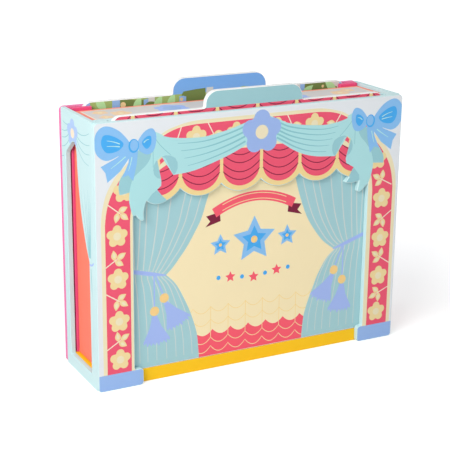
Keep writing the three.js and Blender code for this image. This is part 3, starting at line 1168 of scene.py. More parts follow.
@dataclass(frozen=True)
class ProsceniumPrint:
    """The front panel's print: a flowered arch, a looped valance, swags with tails, and blue feet."""

    middle: float = 1.2
    below: float = -10.0
    feet: tuple[float, ...] = (-165, 165)
    feet_half: float = 30
    feet_top: float = 19.2
    cream_edge: Shape = ((-186, 190), (-184.5, 205), (-180, 222), (-172.3, 236), (-163, 247), (-139.5, 267.2),
                         (-113, 283.6), (-100, 288.6), (-84, 292.2), (-70, 293.3))
    band_edge: Shape = ((-181.4, 190), (-180, 201), (-177.2, 213), (-172.5, 224), (-166, 234), (-157, 245.5),
                        (-136.5, 264.6), (-113, 280.2), (-95, 286.8), (-75, 289))
    band_inside: Shape = ((-152.8, 190), (-151, 205), (-146, 219), (-138.5, 231), (-129.5, 239.8),
                          (-119, 247.8), (-112, 252.8), (-104, 256.8), (-95, 259.8), (-85, 261.6),
                          (-60, 262.2))
    cloth_top: Shape = ((-147, 190), (-146, 205), (-141, 219), (-134, 229.5), (-126, 237.2), (-119, 242.8),
                        (-112, 246.8), (-104, 250.6), (-95, 253.8), (-85, 256.2), (-60, 257.4))
    gold_feet: tuple[Point, Point] = ((-146, 190), (149, 190))
    valance_middles: tuple[float, ...] = (-118.4, -68.8, -19.2, 30.4, 80.0, 129.6)
    blossom_reach: float = 12.4
    blossom_petal: float = 4.9
    blossom_heart: float = 4.4
    left_blossoms: Shape = ((-166.2, 34.9), (-166.7, 79.4), (-167.4, 127.8), (-167.8, 176.2), (-159.5, 224.7),
                            (-126.5, 256.5), (-74.6, 275), (-26, 275))
    right_blossoms: Shape = ((168.6, 35.4), (169.5, 81.2), (169.4, 128.8), (169, 177.6), (161, 226),
                             (129, 256.5), (73.2, 276), (25.5, 275.5))
    left_sprigs: tuple[tuple[Point, Point], ...] = (
        ((-168.2, 56.0), (-181.4, 48.3)), ((-168.8, 104.3), (-181.4, 112.6)),
        ((-171.0, 149.0), (-181.4, 142.7)), ((-166.4, 202.6), (-177.8, 211.8)))
    right_sprigs: tuple[tuple[Point, Point], ...] = (
        ((171.0, 59.8), (183.8, 65.1)), ((171.0, 104.4), (183.8, 95.8)),
        ((171.5, 153.3), (183.8, 161.4)), ((168.6, 200.5), (182.2, 193.2)))
    arch_sprigs: tuple[tuple[Point, Point, int], ...] = (
        ((-98, 272), (-92, 288.5), -1), ((-54, 276.5), (-61, 290), 1),
        ((44, 277), (37.5, 290), 1), ((101, 274), (109.5, 287), -1))
    hangings: tuple[Hanging, ...] = (LEFT_HANGING, RIGHT_HANGING)
    rosette: Point = (5.6, 273.0)
    rosette_reach: float = 25.0
    rosette_petal: float = 10.4
    rosette_heart: float = 8.0
    knots: tuple[tuple[Point, int], ...] = (((-147.5, 272.5), 1), ((148.5, 272.5), -1))

    def arch(self, edge: Shape) -> Line:
        """Draws one of the arch's lines from the left foot over to the right foot.

        Args:
            edge: The line's left half, without its foot.

        Returns:
            The whole line.
        """
        left = spline(edge)
        whole = left + mirrored(left, self.middle)
        return [(whole[0][0], self.below), *whole, (whole[-1][0], self.below)]

    def artwork(self) -> Artwork:
        """Draws the whole face, in painting order.

        Returns:
            The print.
        """
        art = Artwork(Ink.GROUND)
        valance = self.arch(self.cloth_top)
        art.fill([self.gold_feet[0], *valance[1:-1], self.gold_feet[1]], Ink.GOLD)
        ValancePrint().draw(art, self.valance_middles)
        outer, band = self.arch(self.cream_edge), self.arch(self.band_edge)
        inner = self.arch(self.band_inside)
        art.fill(outer + band[::-1], Ink.ARCH_CREAM)
        art.fill(band + inner[::-1], Ink.CRIMSON)
        art.fill(inner + valance[::-1], Ink.ARCH_CREAM)
        self.flowers(art)
        self.drapery(art)
        art.fill(blossom(self.rosette, self.rosette_reach, self.rosette_petal), Ink.PERIWINKLE)
        art.fill(oval(self.rosette, self.rosette_heart), Ink.BLOSSOM_HEART)
        for knot, hand in self.knots:
            BowPrint().draw(art, knot, hand)
        for x in self.feet:
            art.fill(block(x - self.feet_half, x + self.feet_half, self.below, self.feet_top), Ink.FOOT_BLUE)
        return art

    def flowers(self, art: Artwork) -> None:
        """Draws the arch's flowers and sprigs.

        Args:
            art: The print.
        """
        sprig = SprigPrint()
        for leg in (self.left_sprigs, self.right_sprigs):
            for k, (middle, root) in enumerate(leg):
                sprig.draw(art, middle, root, -1 if k % 2 else 1)
        for middle, root, hand in self.arch_sprigs:
            sprig.draw(art, middle, root, hand)
        for place in self.left_blossoms + self.right_blossoms:
            art.fill(blossom(place, self.blossom_reach, self.blossom_petal), Ink.BLOSSOM)
            art.fill(oval(place, self.blossom_heart), Ink.BLOSSOM_HEART)

    def drapery(self, art: Artwork) -> None:
        """Draws the swags and their tails, shaded behind and folded in front.

        Args:
            art: The print.
        """
        for side in self.hangings:
            art.fill([*spline(side.shade), *side.shade_front], Ink.SWAG_SHADE)
        for side in self.hangings:
            art.fill([side.join, *spline(side.lower), *reversed(spline(side.upper))], Ink.SWAG)
        for side in self.hangings:
            art.fill([*spline(side.tail), *side.tail_front], Ink.SWAG)
        for side in self.hangings:
            for outline in side.turned:
                art.fill(outline, Ink.SWAG_SHADE)
        for side in self.hangings:
            drape_lines(art, side.upper[::-1], side.lower[::-1], side.fold_shares, side.fold_keep)
        for side in self.hangings:
            for line in side.creases:
                crease = spline([(side.crease + side.hand * x, z) for x, z in line])
                art.stroke(crease, side.crease_width, Ink.SWAG_FOLD)


def sided(points: Points, hand: int) -> Line:
    """Gives points as they are for the left side, and mirrored for the right."""
    return [(hand * x, z) for x, z in points]


def fanned(line: Line, far: float, near: float, measured: float, power: float = 1.0) -> Line:
    """Draws a pleat that fans out from a tie like the curtain's edge.

    Args:
        line: The curtain's edge, from the tie onward.
        far: The pleat's place across at the height where it is measured.
        near: Its place across at the tie.
        measured: That height.
        power: How late it turns outward, one for as the edge does.

    Returns:
        The pleat's line.
    """
    end = line[0][0]
    reach = min(line, key=lambda p: abs(p[1] - measured))[0] - end
    return [(near + (far - near) * max(0.0, (x - end) / reach) ** power, z) for x, z in line]


def fringe(apex: Point, one: Point, other: Point) -> Line:
    """Draws a tassel that widens from its apex to a ragged foot.

    Args:
        apex: Its top.
        one: One corner of its foot.
        other: The other corner.

    Returns:
        Its outline.
    """
    teeth, tooth, uneven, bulge, top_half, waist = 8, 0.11, 0.04, 0.09, 2.0, 0.5
    (ax, az), (bx, bz), (cx, cz) = apex, one, other
    ragged: Line = []
    for k in range(2 * teeth + 1):
        t = k / (2 * teeth)
        x, z = bx + (cx - bx) * t, bz + (cz - bz) * t
        push = 1.0 + bulge * math.sin(math.pi * t) + (tooth + uneven * math.sin(5.0 * k) if k % 2 else 0.0)
        ragged.append((ax + (x - ax) * push, az + (z - az) * push))
    side = math.copysign(top_half, bx - cx)
    waist_one = (ax + (bx - ax) * waist - side * waist, az + (bz - az) * waist)
    waist_other = (ax + (cx - ax) * waist + side * waist, az + (cz - az) * waist)
    return [(ax + side, az), waist_one, *ragged, waist_other, (ax - side, az)]


@dataclass(frozen=True)
class CurtainPrint:
    """The lift-out front board's print: drawn curtains with tassels before a patterned cloth."""

    left_edge: Shape = ((-44, 296), (-46, 262), (-50, 235), (-55.8, 209), (-58.7, 200), (-65.3, 180.3),
                        (-74.5, 163.7), (-83.2, 149.8), (-92, 138.7), (-100.3, 128.7), (-107.8, 122))
    right_edge: Shape = ((44, 296), (46, 262), (50, 235), (55, 212), (58.2, 200), (64.8, 180.3), (72, 163.7),
                         (80.7, 149.8), (92, 135.3), (101, 127.6), (110, 121))
    left_foot: Shape = ((-107.8, 122), (-99.5, 113.7), (-93.3, 105.3), (-86.5, 92), (-80.3, 78.7),
                        (-75.3, 65.3), (-70.8, 50), (-69, 38.7), (-67, 14))
    right_foot: Shape = ((110, 121), (101.2, 113.7), (95, 105.3), (87.5, 92), (82, 78.7), (76.7, 65.3),
                         (71.7, 50), (69.5, 38.7), (67.5, 14))
    curtain_top: float = 310
    curtain_foot: float = 14
    # Each pleat's places across, away from the tie and at the tie
    pleats_above: Shape = ((-146.5, -145), (-137.8, -143.2), (-130.3, -136.2), (-117, -130.8),
                           (-102.9, -127.4), (-87.2, -125.4), (-79, -120.4), (-67.2, -114.6))
    pleats_below: Shape = ((-140, -145), (-130.3, -138), (-119.3, -131.3), (-107, -126), (-95.5, -120),
                           (-85.8, -116.4), (-75.3, -113))
    measured_above: float = 200.0
    measured_below: float = 14.0
    pleat_width: float = 1.4
    pleat_end: float = 0.8
    pleat_foot: float = 20.5
    pleat_spread: float = 0.72
    pleat_hug: float = 0.7
    hug_from: float = -105.0
    tie_height: float = 124
    tie_slope: float = 0.27
    tie_end: float = -108
    tie_half: float = 2.5
    tie_band: Shape = ((-168, 138), (-147, 133.5), (-126, 128), (-107.4, 122.2), (-109, 121), (-127, 123.4),
                       (-147, 128.6), (-168, 133))
    right_tie_lift: float = 0.065
    lift_from: float = -107.4
    cords: tuple[Shape, ...] = (((-122.2, 124), (-122.2, 86)), ((-121, 124), (-111.6, 100)))
    cord_width: float = 1.7
    # Each tassel's apex and the two corners of its foot
    tassels: tuple[Shape, ...] = (
        ((-122.2, 79), (-135.8, 46.0), (-103.6, 48.0)), ((-109.6, 92), (-107.4, 58.4), (-79.2, 71.3)))
    beads: Shape = ((-122, 81.6), (-110.2, 95.3))
    bead_size: float = 5.6
    loop_count: int = 10
    hem_pitch: float = 22.97
    first_hem: float = -96.1
    hem_height: float = 48.2
    hem_valley: float = 41.5
    hem_foot: float = 5.0
    loop_pitch: float = 22.27
    first_loop: float = -97.1
    # Each row's cusp height and valley
    loop_rows: Shape = ((38.7, 31.7), (28.3, 20.7))
    loop_width: float = 0.8
    # Each row's cusp height, its valley and the foot of its upright lines
    rows_behind: tuple[tuple[float, float, float], ...] = ((76.0, 68.8, 60.6), (60.6, 53.7, 40.0))
    fine_width: float = 0.7
    bar_count: int = 9
    bar_pitch: float = 49.6
    first_bar: float = -194.9
    bar_foot: float = 262.0
    bar_valley: float = 251.0
    pelmet_loops: ValancePrint = ValancePrint(half_width=22.6, bottom=256.5, shoulder=278.0, top=320.0,
                                              folds=(264.0, 273.0, 282.5, 292.0, 301.0))

    def artwork(self) -> Artwork:
        """Draws the whole face, in painting order.

        Returns:
            The print.
        """
        art = Artwork(Ink.BOARD_CREAM)
        self.cloth(art)
        EmblemPrint().draw(art)
        self.curtain(art, self.left_edge, self.left_foot, 1)
        self.curtain(art, mirrored(self.right_edge)[::-1], mirrored(self.right_foot)[::-1], -1)
        self.tie(art, 1)
        self.tie(art, -1)
        self.pelmet(art)
        return art

    def cloth(self, art: Artwork) -> None:
        """Draws the scalloped cloth along the bottom.

        Args:
            art: The print.
        """
        hem = [self.first_hem + self.hem_pitch * k for k in range(self.loop_count)]
        loops = [self.first_loop + self.loop_pitch * k for k in range(self.loop_count)]
        for height, valley, foot in self.rows_behind:
            art.stroke(scallop_line(loops, height, valley), self.fine_width, Ink.FAINT)
            for x in loops[2:]:
                art.stroke([(x, foot), (x, height)], self.fine_width, Ink.FAINT)
        scallops(art, hem, self.hem_height, self.hem_valley, self.hem_foot, Ink.WAVE)
        edge = scallop_line(hem, self.hem_height, self.hem_valley)
        for x in loops[1:]:
            art.stroke([(x, self.loop_rows[0][0]), (x, height_at(edge, x))], self.fine_width, Ink.WAVE_LINE)
        for height, valley in self.loop_rows:
            art.stroke(scallop_line(loops, height, valley), self.loop_width, Ink.WAVE_LINE)

    def curtain(self, art: Artwork, edge: Points, foot: Points, hand: int) -> None:
        """Draws one curtain with its pleats, as for the left side.

        Args:
            art: The print.
            edge: Its inner edge above the tie.
            foot: Its inner edge below the tie.
            hand: One for the left, minus one for the right.
        """
        above, below = spline(edge), spline(foot)
        whole = [(-PRINT_HALF, self.curtain_top), *above, *below[1:], (-PRINT_HALF, self.curtain_foot)]
        art.fill(sided(whole, hand), Ink.CURTAIN)
        for far, near in self.pleats_above:
            line = fanned(above[::-1], far, near, self.measured_above)
            kept = [p for p in line if p[1] > self.tied_at(near) - self.tie_half]
            art.stroke(sided(kept, hand), self.pleat_width, Ink.PLEAT)
        for far, near in self.pleats_below:
            power = self.pleat_spread + self.pleat_hug / (self.hug_from - near)
            line = fanned(below, far, near, self.measured_below, power)
            kept = [(near, self.tied_at(near)), *(p for p in line[2::2] if p[1] > self.pleat_foot)]
            art.stroke(sided(kept, hand), self.pleat_width, Ink.PLEAT, self.pleat_end)

    def tied_at(self, across: float) -> float:
        """Gives the tie's height at a place across, as for the left side."""
        return self.tie_height - self.tie_slope * (across - self.tie_end)

    def tie(self, art: Artwork, hand: int) -> None:
        """Draws one tie-back with its cords, beads and tassels, as for the left side.

        Args:
            art: The print.
            hand: One for the left, minus one for the right.
        """
        lift = 0.0 if hand > 0 else self.right_tie_lift
        band = [(x, z - lift * (x - self.lift_from)) for x, z in self.tie_band]
        art.fill(sided(band, hand), Ink.TASSEL)
        for cord in self.cords:
            art.stroke(sided(cord, hand), self.cord_width, Ink.TASSEL)
        for corners in self.tassels:
            art.fill(fringe(*sided(corners, hand)), Ink.TASSEL)
        for bead in sided(self.beads, hand):
            art.fill(oval(bead, self.bead_size), Ink.BEAD)

    def pelmet(self, art: Artwork) -> None:
        """Draws the looped cloth at the top and the hand tab above it.

        Args:
            art: The print.
        """
        bars = [self.first_bar + self.bar_pitch * k for k in range(self.bar_count)]
        scallops(art, bars, self.bar_foot, self.bar_valley, PRINT_TOP, Ink.GOLD)
        self.pelmet_loops.draw(art, [(a + b) / 2 for a, b in zip(bars, bars[1:])])
        hand_tab(art, Ink.TAB_TEAL)


@dataclass(frozen=True)
class EmblemPrint:
    """Stars below a ribbon, and a row of small stars and dots, in the middle of the curtain board."""

    middle: float = 2
    ribbon_end: Shape = ((43, 175), (62, 170), (56, 176), (61, 182.5), (44, 185.5))
    ribbon_half: float = 51
    ribbon_top: float = 199
    ribbon_sag: float = 14
    ribbon_width: float = 11.5
    ribbon_steps: int = 10
    border_inset: float = 3.3
    border_width: float = 0.8
    # Each star's middle and reach
    stars: tuple[tuple[Point, float], ...] = (((2, 148), 28.0), ((-41, 147), 13.0), ((45, 147), 13.0))
    star_waist: float = 0.5
    inner_star: float = 0.58
    inner_dot: float = 0.15
    row_half: int = 3
    row_pitch: float = 15.0
    row_height: float = 108.5
    # The reach and the waist of a small star
    row_star: Point = (6.8, 0.48)
    row_dot: float = 2.6

    def draw(self, art: Artwork) -> None:
        """Draws the emblem and the row below it.

        Args:
            art: The print.
        """
        for hand in (1, -1):
            art.fill([(self.middle + hand * x, z) for x, z in self.ribbon_end], Ink.MAROON)
        shares = [k / self.ribbon_steps - 1 for k in range(2 * self.ribbon_steps + 1)]
        top = [(self.middle + u * self.ribbon_half, self.ribbon_top - self.ribbon_sag * u * u)
               for u in shares]
        art.stroke(top, self.ribbon_width, Ink.WAVE)
        for inset in (self.border_inset, -self.border_inset):
            art.stroke([(x, z + inset) for x, z in top[2:-2]], self.border_width, Ink.WAVE_LINE)
        for centre, reach in self.stars:
            art.fill(star(centre, reach, self.star_waist), Ink.RIBBON)
            art.fill(star(centre, reach * self.inner_star, self.star_waist), Ink.RIBBON_DEEP)
            art.fill(oval(centre, reach * self.inner_dot), Ink.BEAD)
        for k in range(2 * self.row_half + 1):
            off = k - self.row_half
            place = (self.middle + off * self.row_pitch, self.row_height - (self.row_half - abs(off)) ** 1.5)
            if k % 2:
                art.fill(star(place, *self.row_star), Ink.WAVE)
            else:
                art.fill(oval(place, self.row_dot), Ink.RIBBON_DEEP)


@dataclass(frozen=True)
class SceneryPrint:
    """The rear board's print: a clearing below a leafy canopy."""

    seed: int = 11
    # Each cloud's middle and half its width
    clouds: tuple[tuple[float, float, float], ...] = (
        (-120, 190, 17), (-100, 197, 22), (-78, 190, 16), (60, 214, 15), (80, 220, 20), (99, 213, 14))
    cloud_flatness: float = 0.62
    far_hill: Shape = ((-180, 120), (-120, 150), (-60, 128), (0, 142), (60, 160), (120, 132), (180, 150))
    near_hill: Shape = ((-180, 92), (-130, 84), (-70, 104), (0, 92), (70, 100), (130, 78), (180, 88))
    front_hill: Shape = ((-180, 44), (-120, 36), (-60, 22), (0, 8), (60, 20), (120, 38), (180, 48))
    path: Shape = ((-8, 96), (14, 80), (-2, 62), (26, 40), (10, 4))
    path_widths: Point = (6.0, 44.0)
    # Each trunk's middle and width, and their shape as shares of the width by height
    trunks: Shape = ((-148, 22), (-112, 12), (122, 14), (152, 24))
    trunk_shape: Shape = ((-0.8, 30), (0.8, 30), (0.4, 90), (0.36, 300), (-0.36, 300), (-0.4, 90))
    flower_count: int = 26
    flower_reach: float = 160
    flower_heights: Point = (20, 66)
    path_middle: float = 10
    path_clear: float = 40
    # A flower's reach and its petals' radius
    flower: Point = (4.4, 1.9)
    flower_heart: float = 1.4
    canopy_half: float = 168
    clump_count: int = 17
    clump_pitch: float = 21
    clump_height: float = 268
    clump_size: Point = (17, 15)
    clump_arch: float = 20
    clump_chance: float = 4
    clump_follow: float = 0.6
    canopy_foot: float = 280
    glimpse_foot: float = 284
    # Each glimpse's left edge, width and ink
    glimpses: tuple[tuple[float, float, Ink], ...] = (
        (-170.0, 10.0, Ink.GLIMPSE_BLUE), (-134.0, 9.3, Ink.GLIMPSE_BLUE), (-124.7, 28.7, Ink.DEEP_OLIVE),
        (-96.0, 5.5, Ink.GLIMPSE_BLUE), (-90.5, 8.0, Ink.STONE), (98.5, 8.5, Ink.STONE),
        (107.0, 6.4, Ink.GLIMPSE_BLUE), (113.4, 27.3, Ink.DEEP_OLIVE), (140.7, 21.3, Ink.STONE),
        (162.0, 6.0, Ink.GLIMPSE_BLUE))
    leaf_count: int = 30
    leaf_reach: float = 165
    leaf_heights: Point = (262, 284)
    leaf_size: Point = (14, 6.5)
    # Foot, direction in degrees, length and width
    long_leaf: tuple[Point, float, float, float] = ((-114, 303.5), -4, 25, 3.6)
    # Middle, half width and half height
    dark_clump: tuple[Point, float, float] = ((-87.2, 292.5), 8.0, 6.0)
    dark_corner: Shape = ((140, 284), (159, 284), (159, 296.5), (150, 299.5), (140, 306))
    # Each spray's foot, direction and length
    sprays: tuple[tuple[Point, float, float], ...] = (
        ((-153, 306), -48, 18), ((-107, 288), 68, 19), ((-83, 287), 62, 20), ((-65, 288), 70, 19),
        ((62, 290), 60, 15), ((84, 288), 120, 15), ((110, 289), 38, 19), ((158, 291), 141, 21),
        ((118, 264), 42, 15))
    spray_width: float = 9.5
    tab_patches: tuple[tuple[Ink, Shape], ...] = (
        (Ink.DEEP_OLIVE, ((-49, 290), (-19, 290), (-19, 308.5), (-31, 308), (-47, 306.5), (-49, 303))),
        (Ink.STONE, ((-19, 290), (-9, 290), (-9, 309), (-17.5, 309))),
        (Ink.OLIVE, ((16, 290), (48, 290), (46, 305), (30, 307), (20, 305))),
        (Ink.GLIMPSE_BLUE, ((-52, 286), (-43.5, 286), (-43.5, 300.5), (-47, 301.5), (-52, 301.5))))
    # Each berry's middle and radius
    berries: tuple[tuple[Point, float], ...] = (
        ((-121, 297.2), 3.2), ((-49.2, 297.6), 2.0), ((88, 298), 3.0), ((138.7, 298.4), 1.8),
        ((-84, 276), 3.0), ((24, 272), 3.0), ((108, 278), 3.0))

    def artwork(self) -> Artwork:
        """Draws the whole face, in painting order.

        Returns:
            The print.
        """
        art = Artwork(Ink.SKY)
        draw = random.Random(self.seed)
        for x, z, r in self.clouds:
            art.fill(oval((x, z), r, r * self.cloud_flatness), Ink.CLOUD)
        hills(art, self.far_hill, Ink.SPRING)
        hills(art, self.near_hill, Ink.LEAF)
        art.stroke(spline(self.path), self.path_widths[0], Ink.PEACH, self.path_widths[1])
        hills(art, self.front_hill, Ink.OLIVE)
        for x, width in self.trunks:
            art.fill([(x + width * share, z) for share, z in self.trunk_shape], Ink.DEEP_OLIVE)
        self.canopy(art, draw)
        for k in range(self.flower_count):
            place = (draw.uniform(-self.flower_reach, self.flower_reach), draw.uniform(*self.flower_heights))
            if abs(place[0] - self.path_middle) > self.path_clear:
                art.fill(blossom(place, *self.flower), Ink.PEACH if k % 2 else Ink.CLOUD)
                art.fill(oval(place, self.flower_heart, points=10), Ink.BEAD)
        hand_tab(art, Ink.TAB_BLUE)
        for ink, outline in self.tab_patches:
            art.fill(outline, ink)
        for place, radius in self.berries:
            art.fill(oval(place, radius), Ink.BLOSSOM)
        return art

    def canopy(self, art: Artwork, draw: random.Random) -> None:
        """Draws the leaves overhead.

        Args:
            art: The print.
            draw: The source of its chances.
        """
        for k in range(self.clump_count):
            x = -self.canopy_half + self.clump_pitch * k
            chance = draw.uniform(-self.clump_chance, self.clump_chance)
            dip = self.clump_arch * math.cos(x / self.canopy_half * math.pi) + chance
            art.fill(oval((x, self.clump_height + dip * self.clump_follow), *self.clump_size), Ink.OLIVE)
        art.fill(block(-PRINT_HALF, PRINT_HALF, self.canopy_foot, PRINT_TOP), Ink.OLIVE)
        for x, wide, ink in self.glimpses:
            art.fill(block(x, x + wide, self.glimpse_foot, PRINT_TOP), ink)
        for k in range(self.leaf_count):
            place = (draw.uniform(-self.leaf_reach, self.leaf_reach), draw.uniform(*self.leaf_heights))
            art.fill(leaf(place, draw.uniform(0, 360), *self.leaf_size), Ink.LEAF if k % 3 else Ink.SPRING)
        art.fill(leaf(*self.long_leaf), Ink.OLIVE)
        art.fill(oval(*self.dark_clump), Ink.DEEP_OLIVE)
        art.fill(self.dark_corner, Ink.DEEP_OLIVE)
        for base, direction, length in self.sprays:
            art.fill(leaf(base, direction, length, self.spray_width), Ink.LEAF)


@dataclass(frozen=True)
class DuskPrint:
    """The rear board's other face: hills below an evening sky with stars and a moon."""

    seed: int = 5
    moon: tuple[Point, float] = ((-70, 208), 27)
    moon_shadow: tuple[Point, float] = ((-58, 214), 25)
    moon_clear: float = 38
    star_count: int = 44
    star_reach: float = 160
    star_heights: Point = (128, 292)
    star_sizes: Point = (4.0, 6.5)
    star_waist: float = 0.46
    dot: float = 1.2
    far_hill: Shape = ((-180, 110), (-110, 128), (-40, 96), (40, 118), (110, 92), (180, 116))
    near_hill: Shape = ((-180, 60), (-120, 52), (-40, 76), (50, 52), (120, 74), (180, 58))

    def artwork(self) -> Artwork:
        """Draws the whole face, in painting order.

        Returns:
            The print.
        """
        art = Artwork(Ink.DUSK)
        draw = random.Random(self.seed)
        art.fill(oval(*self.moon), Ink.ARCH_CREAM)
        art.fill(oval(*self.moon_shadow), Ink.DUSK)
        for k in range(self.star_count):
            place = (draw.uniform(-self.star_reach, self.star_reach), draw.uniform(*self.star_heights))
            if math.dist(place, self.moon[0]) > self.moon_clear:
                if k % 3:
                    art.fill(oval(place, self.dot, points=10), Ink.CLOUD)
                else:
                    art.fill(star(place, draw.uniform(*self.star_sizes), self.star_waist), Ink.GOLD)
        hills(art, self.far_hill, Ink.DUSK_DEEP)
        hills(art, self.near_hill, Ink.DEEP_OLIVE)
        return art


@dataclass(frozen=True)
class CurtainBackPrint:
    """The front board's other face: pale stars on cream between two red bands."""

    # Each band's lower and upper edge
    bands: Shape = ((10, 34), (284, SHOULDER))
    tab_half: float = 70
    rows: int = 7
    columns: int = 9
    pitch: Point = (38, 34)
    stagger: float = 19
    first: Point = (-9.5, 58)
    # A star's reach and waist
    star: Point = (7.0, 0.48)

    def artwork(self) -> Artwork:
        """Draws the whole face.

        Returns:
            The print.
        """
        art = Artwork(Ink.BOARD_CREAM)
        for low, high in self.bands:
            art.fill(block(-PRINT_HALF, PRINT_HALF, low, high), Ink.WAVE)
        hand_tab(art, Ink.TAB_TEAL, self.tab_half)
        for row in range(self.rows):
            shift = (self.stagger if row % 2 else 0) + self.first[0]
            for k in range(self.columns):
                place = ((k - self.columns // 2) * self.pitch[0] + shift, self.first[1] + row * self.pitch[1])
                art.fill(star(place, *self.star), Ink.FAINT)
        return art


@dataclass(frozen=True)
class SidePrint:
    """A side panel's print: pale gathered cloth held by a flower, with its tie below."""

    flower: Point = (10.0, 277.6)
    flower_shape: Point = (16.0, 6.3)
    flower_heart: float = 5.5
    folds: tuple[Shape, ...] = (
        ((3, 284), (-12, 281), (-26, 282.5), (-38.5, 287)),
        ((-1, 278), (-14, 273.5), (-28, 272.8), (-39.5, 274.5)),
        ((-1, 275), (-12, 266.5), (-26, 263), (-39, 264.5)), ((0, 272), (-9, 261), (-22, 254), (-36, 252)),
        ((16, 286), (27, 284.3), (33, 284.8), (39, 286.4)),
        ((19, 280.5), (27, 277.8), (35, 275.8), (42.5, 275.6)),
        ((19, 276.5), (26, 271.8), (34, 268.6), (43, 267.4)),
        ((19, 270.5), (26, 264), (34, 259.4), (43, 256.8)),
        ((38, 247.2), (42, 246.2), (45.5, 245.4)))
    fold_widths: Point = (1.2, 0.6)
    # Where each wedge ends, and the shares of its way there at two heights below
    wedges: Shape = ((-39, 213), (-35, 222), (-31, 225), (-25.5, 219), (-20, 224), (-10, 220))
    wedge_from: float = -34.5
    wedge_fan: Shape = ((0.1, 150), (0.45, 176))
    wedge_widths: Point = (2.6, 0.3)
    feet: Shape = ((-39, 104), (-35.5, 112))
    foot_start: Point = (-36, 139)
    foot_middle: Point = (-37, 118)
    foot_widths: Point = (1.2, 0.3)
    tie: Shape = ((-44, 147.2), (-41.5, 145), (-37, 142.8), (-31.5, 142.6))
    tie_width: float = 2.0

    def artwork(self) -> Artwork:
        """Draws the whole face, in painting order.

        Returns:
            The print.
        """
        art = Artwork(Ink.SIDE_GROUND)
        for line in self.folds:
            art.stroke(spline(line), self.fold_widths[0], Ink.SIDE_FOLD, self.fold_widths[1])
        for y, top in self.wedges:
            fan = [(self.wedge_from + (y - self.wedge_from) * share, z) for share, z in self.wedge_fan]
            art.stroke(spline([*fan, (y, top)]), self.wedge_widths[0], Ink.SIDE_FOLD, self.wedge_widths[1])
        for y, foot in self.feet:
            half_way = (self.foot_middle[0] + (y - self.foot_middle[0]) * 0.5, self.foot_middle[1])
            art.stroke(spline([self.foot_start, half_way, (y, foot)]), self.foot_widths[0], Ink.SIDE_FOLD,
                       self.foot_widths[1])
        art.fill(blossom(self.flower, *self.flower_shape), Ink.SIDE_BLOSSOM)
        art.fill(oval(self.flower, self.flower_heart), Ink.STEM)
        art.stroke(spline(self.tie), self.tie_width, Ink.SIDE_TIE)
        return art


@dataclass(frozen=True)
class LidPrint:
    """The storage lid's print: a framed field with scattered flowers."""

    rim: float = 5.4
    line: float = 2.2
    # Each flower's middle, turn in degrees and scale, then the reach, petal and heart that it scales
    warm_flowers: tuple[tuple[Point, float, float], ...] = (
        ((-159, 12.5), 20, 0.8), ((-139, 1.5), 50, 1.05), ((-161, -11), 0, 0.7),
        ((140.5, 2.5), 40, 1.05), ((157, 13), 10, 0.8), ((161, -12), 30, 0.7), ((112, -12), 30, 0.7))
    warm_shape: tuple[float, float, float] = (11.5, 4.9, 3.0)
    cool_flowers: Shape = ((-78, 2.5), (-16, -4), (32, 5), (77, -1))
    # Reach, petals' radius, number of petals and the first one's direction
    cool_shape: tuple[float, float, int, float] = (20, 8.2, 6, 90)
    cool_heart: tuple[float, float, int, float] = (11, 4.6, 6, 60)

    def artwork(self, low: Point, high: Point) -> Artwork:
        """Draws the whole face.

        Args:
            low: The lid's lowest corner across and up.
            high: Its highest corner.

        Returns:
            The print.
        """
        def frame_box(inset: float) -> Line:
            """Gives the lid's outline set in by a width."""
            return block(low[0] + inset, high[0] - inset, low[1] + inset, high[1] - inset)

        art = Artwork(Ink.RIM_ORANGE)
        art.fill(frame_box(self.rim), Ink.STEM)
        art.fill(frame_box(self.rim + self.line), Ink.LILAC_GREY)
        reach, petal, heart = self.warm_shape
        for place, turn, wide in self.warm_flowers:
            art.fill(blossom(place, reach * wide, petal * wide, turn=90 + turn), Ink.PEACH)
            art.fill(oval(place, heart * wide), Ink.BOARD_CREAM)
        for place in self.cool_flowers:
            art.fill(blossom(place, *self.cool_shape), Ink.SIDE_TIE)
            art.fill(blossom(place, *self.cool_heart), Ink.LID_BLUE)
        return art


# Sub-assemblies


@dataclass
class Case:
    """The open-topped case with its printed front, its sides, back, floor and slot strips."""

    body: str = "case"
    sides: tuple[str, ...] = ("left", "right")
    pieces: list[bpy.types.Object] = field(default_factory=list)

    def build(self) -> None:
        """Builds every board of the case."""
        front = Board("proscenium_panel", MINT)
        front.print_face(Facing.FRONT, ProsceniumPrint().artwork())
        self.dress(front, "proscenium_board")
        for side in self.sides:
            # The right panel's edges carry painted shade; the left's get the paler edge colour of wear and
            # painted highlight
            panel = Board(f"side_panel_{side}", MINT_SIDE if side == "left" else MINT_SIDE_SHADED_EDGES)
            # The inward faces and opening rims get the side paint tinted against the reddish light reflected
            # inside the case, painted light
            panel.paint_inside(MINT_INSIDE_LIGHT_TINTED)
            panel.print_face(Facing[side.upper()], SidePrint().artwork())
            self.dress(panel, "mint_board")
            for strip in ("spacer", "guide"):
                self.dress(Board(f"front_{strip}_{side}", MINT), "mint_board")
                self.dress(Board(f"rear_{strip}_{side}", ROSE), "pink_board")
        self.dress(Board("back_panel", PINK), "pink_board")
        self.dress(Board("stage_floor", AMBER), "amber_board")

    def dress(self, board: Board, slot: str) -> None:
        """Finishes one board of the case."""
        self.pieces.append(board.finish(self.body, slot))


@dataclass
class LiftBoard:
    """A board with a hand tab, printed on both faces, that lifts out of its slot."""

    node: str
    slot: str
    front: Artwork
    back: Artwork
    pieces: list[bpy.types.Object] = field(default_factory=list)

    def build(self) -> None:
        """Builds the board and prints it."""
        board = Board(self.node, WHITE_EDGE)
        board.print_face(Facing.FRONT, self.front)
        board.print_face(Facing.BACK, self.back)
        self.dress(board)

    def dress(self, board: Board) -> None:
        """Finishes the board."""
        self.pieces.append(board.finish(self.node, self.slot))


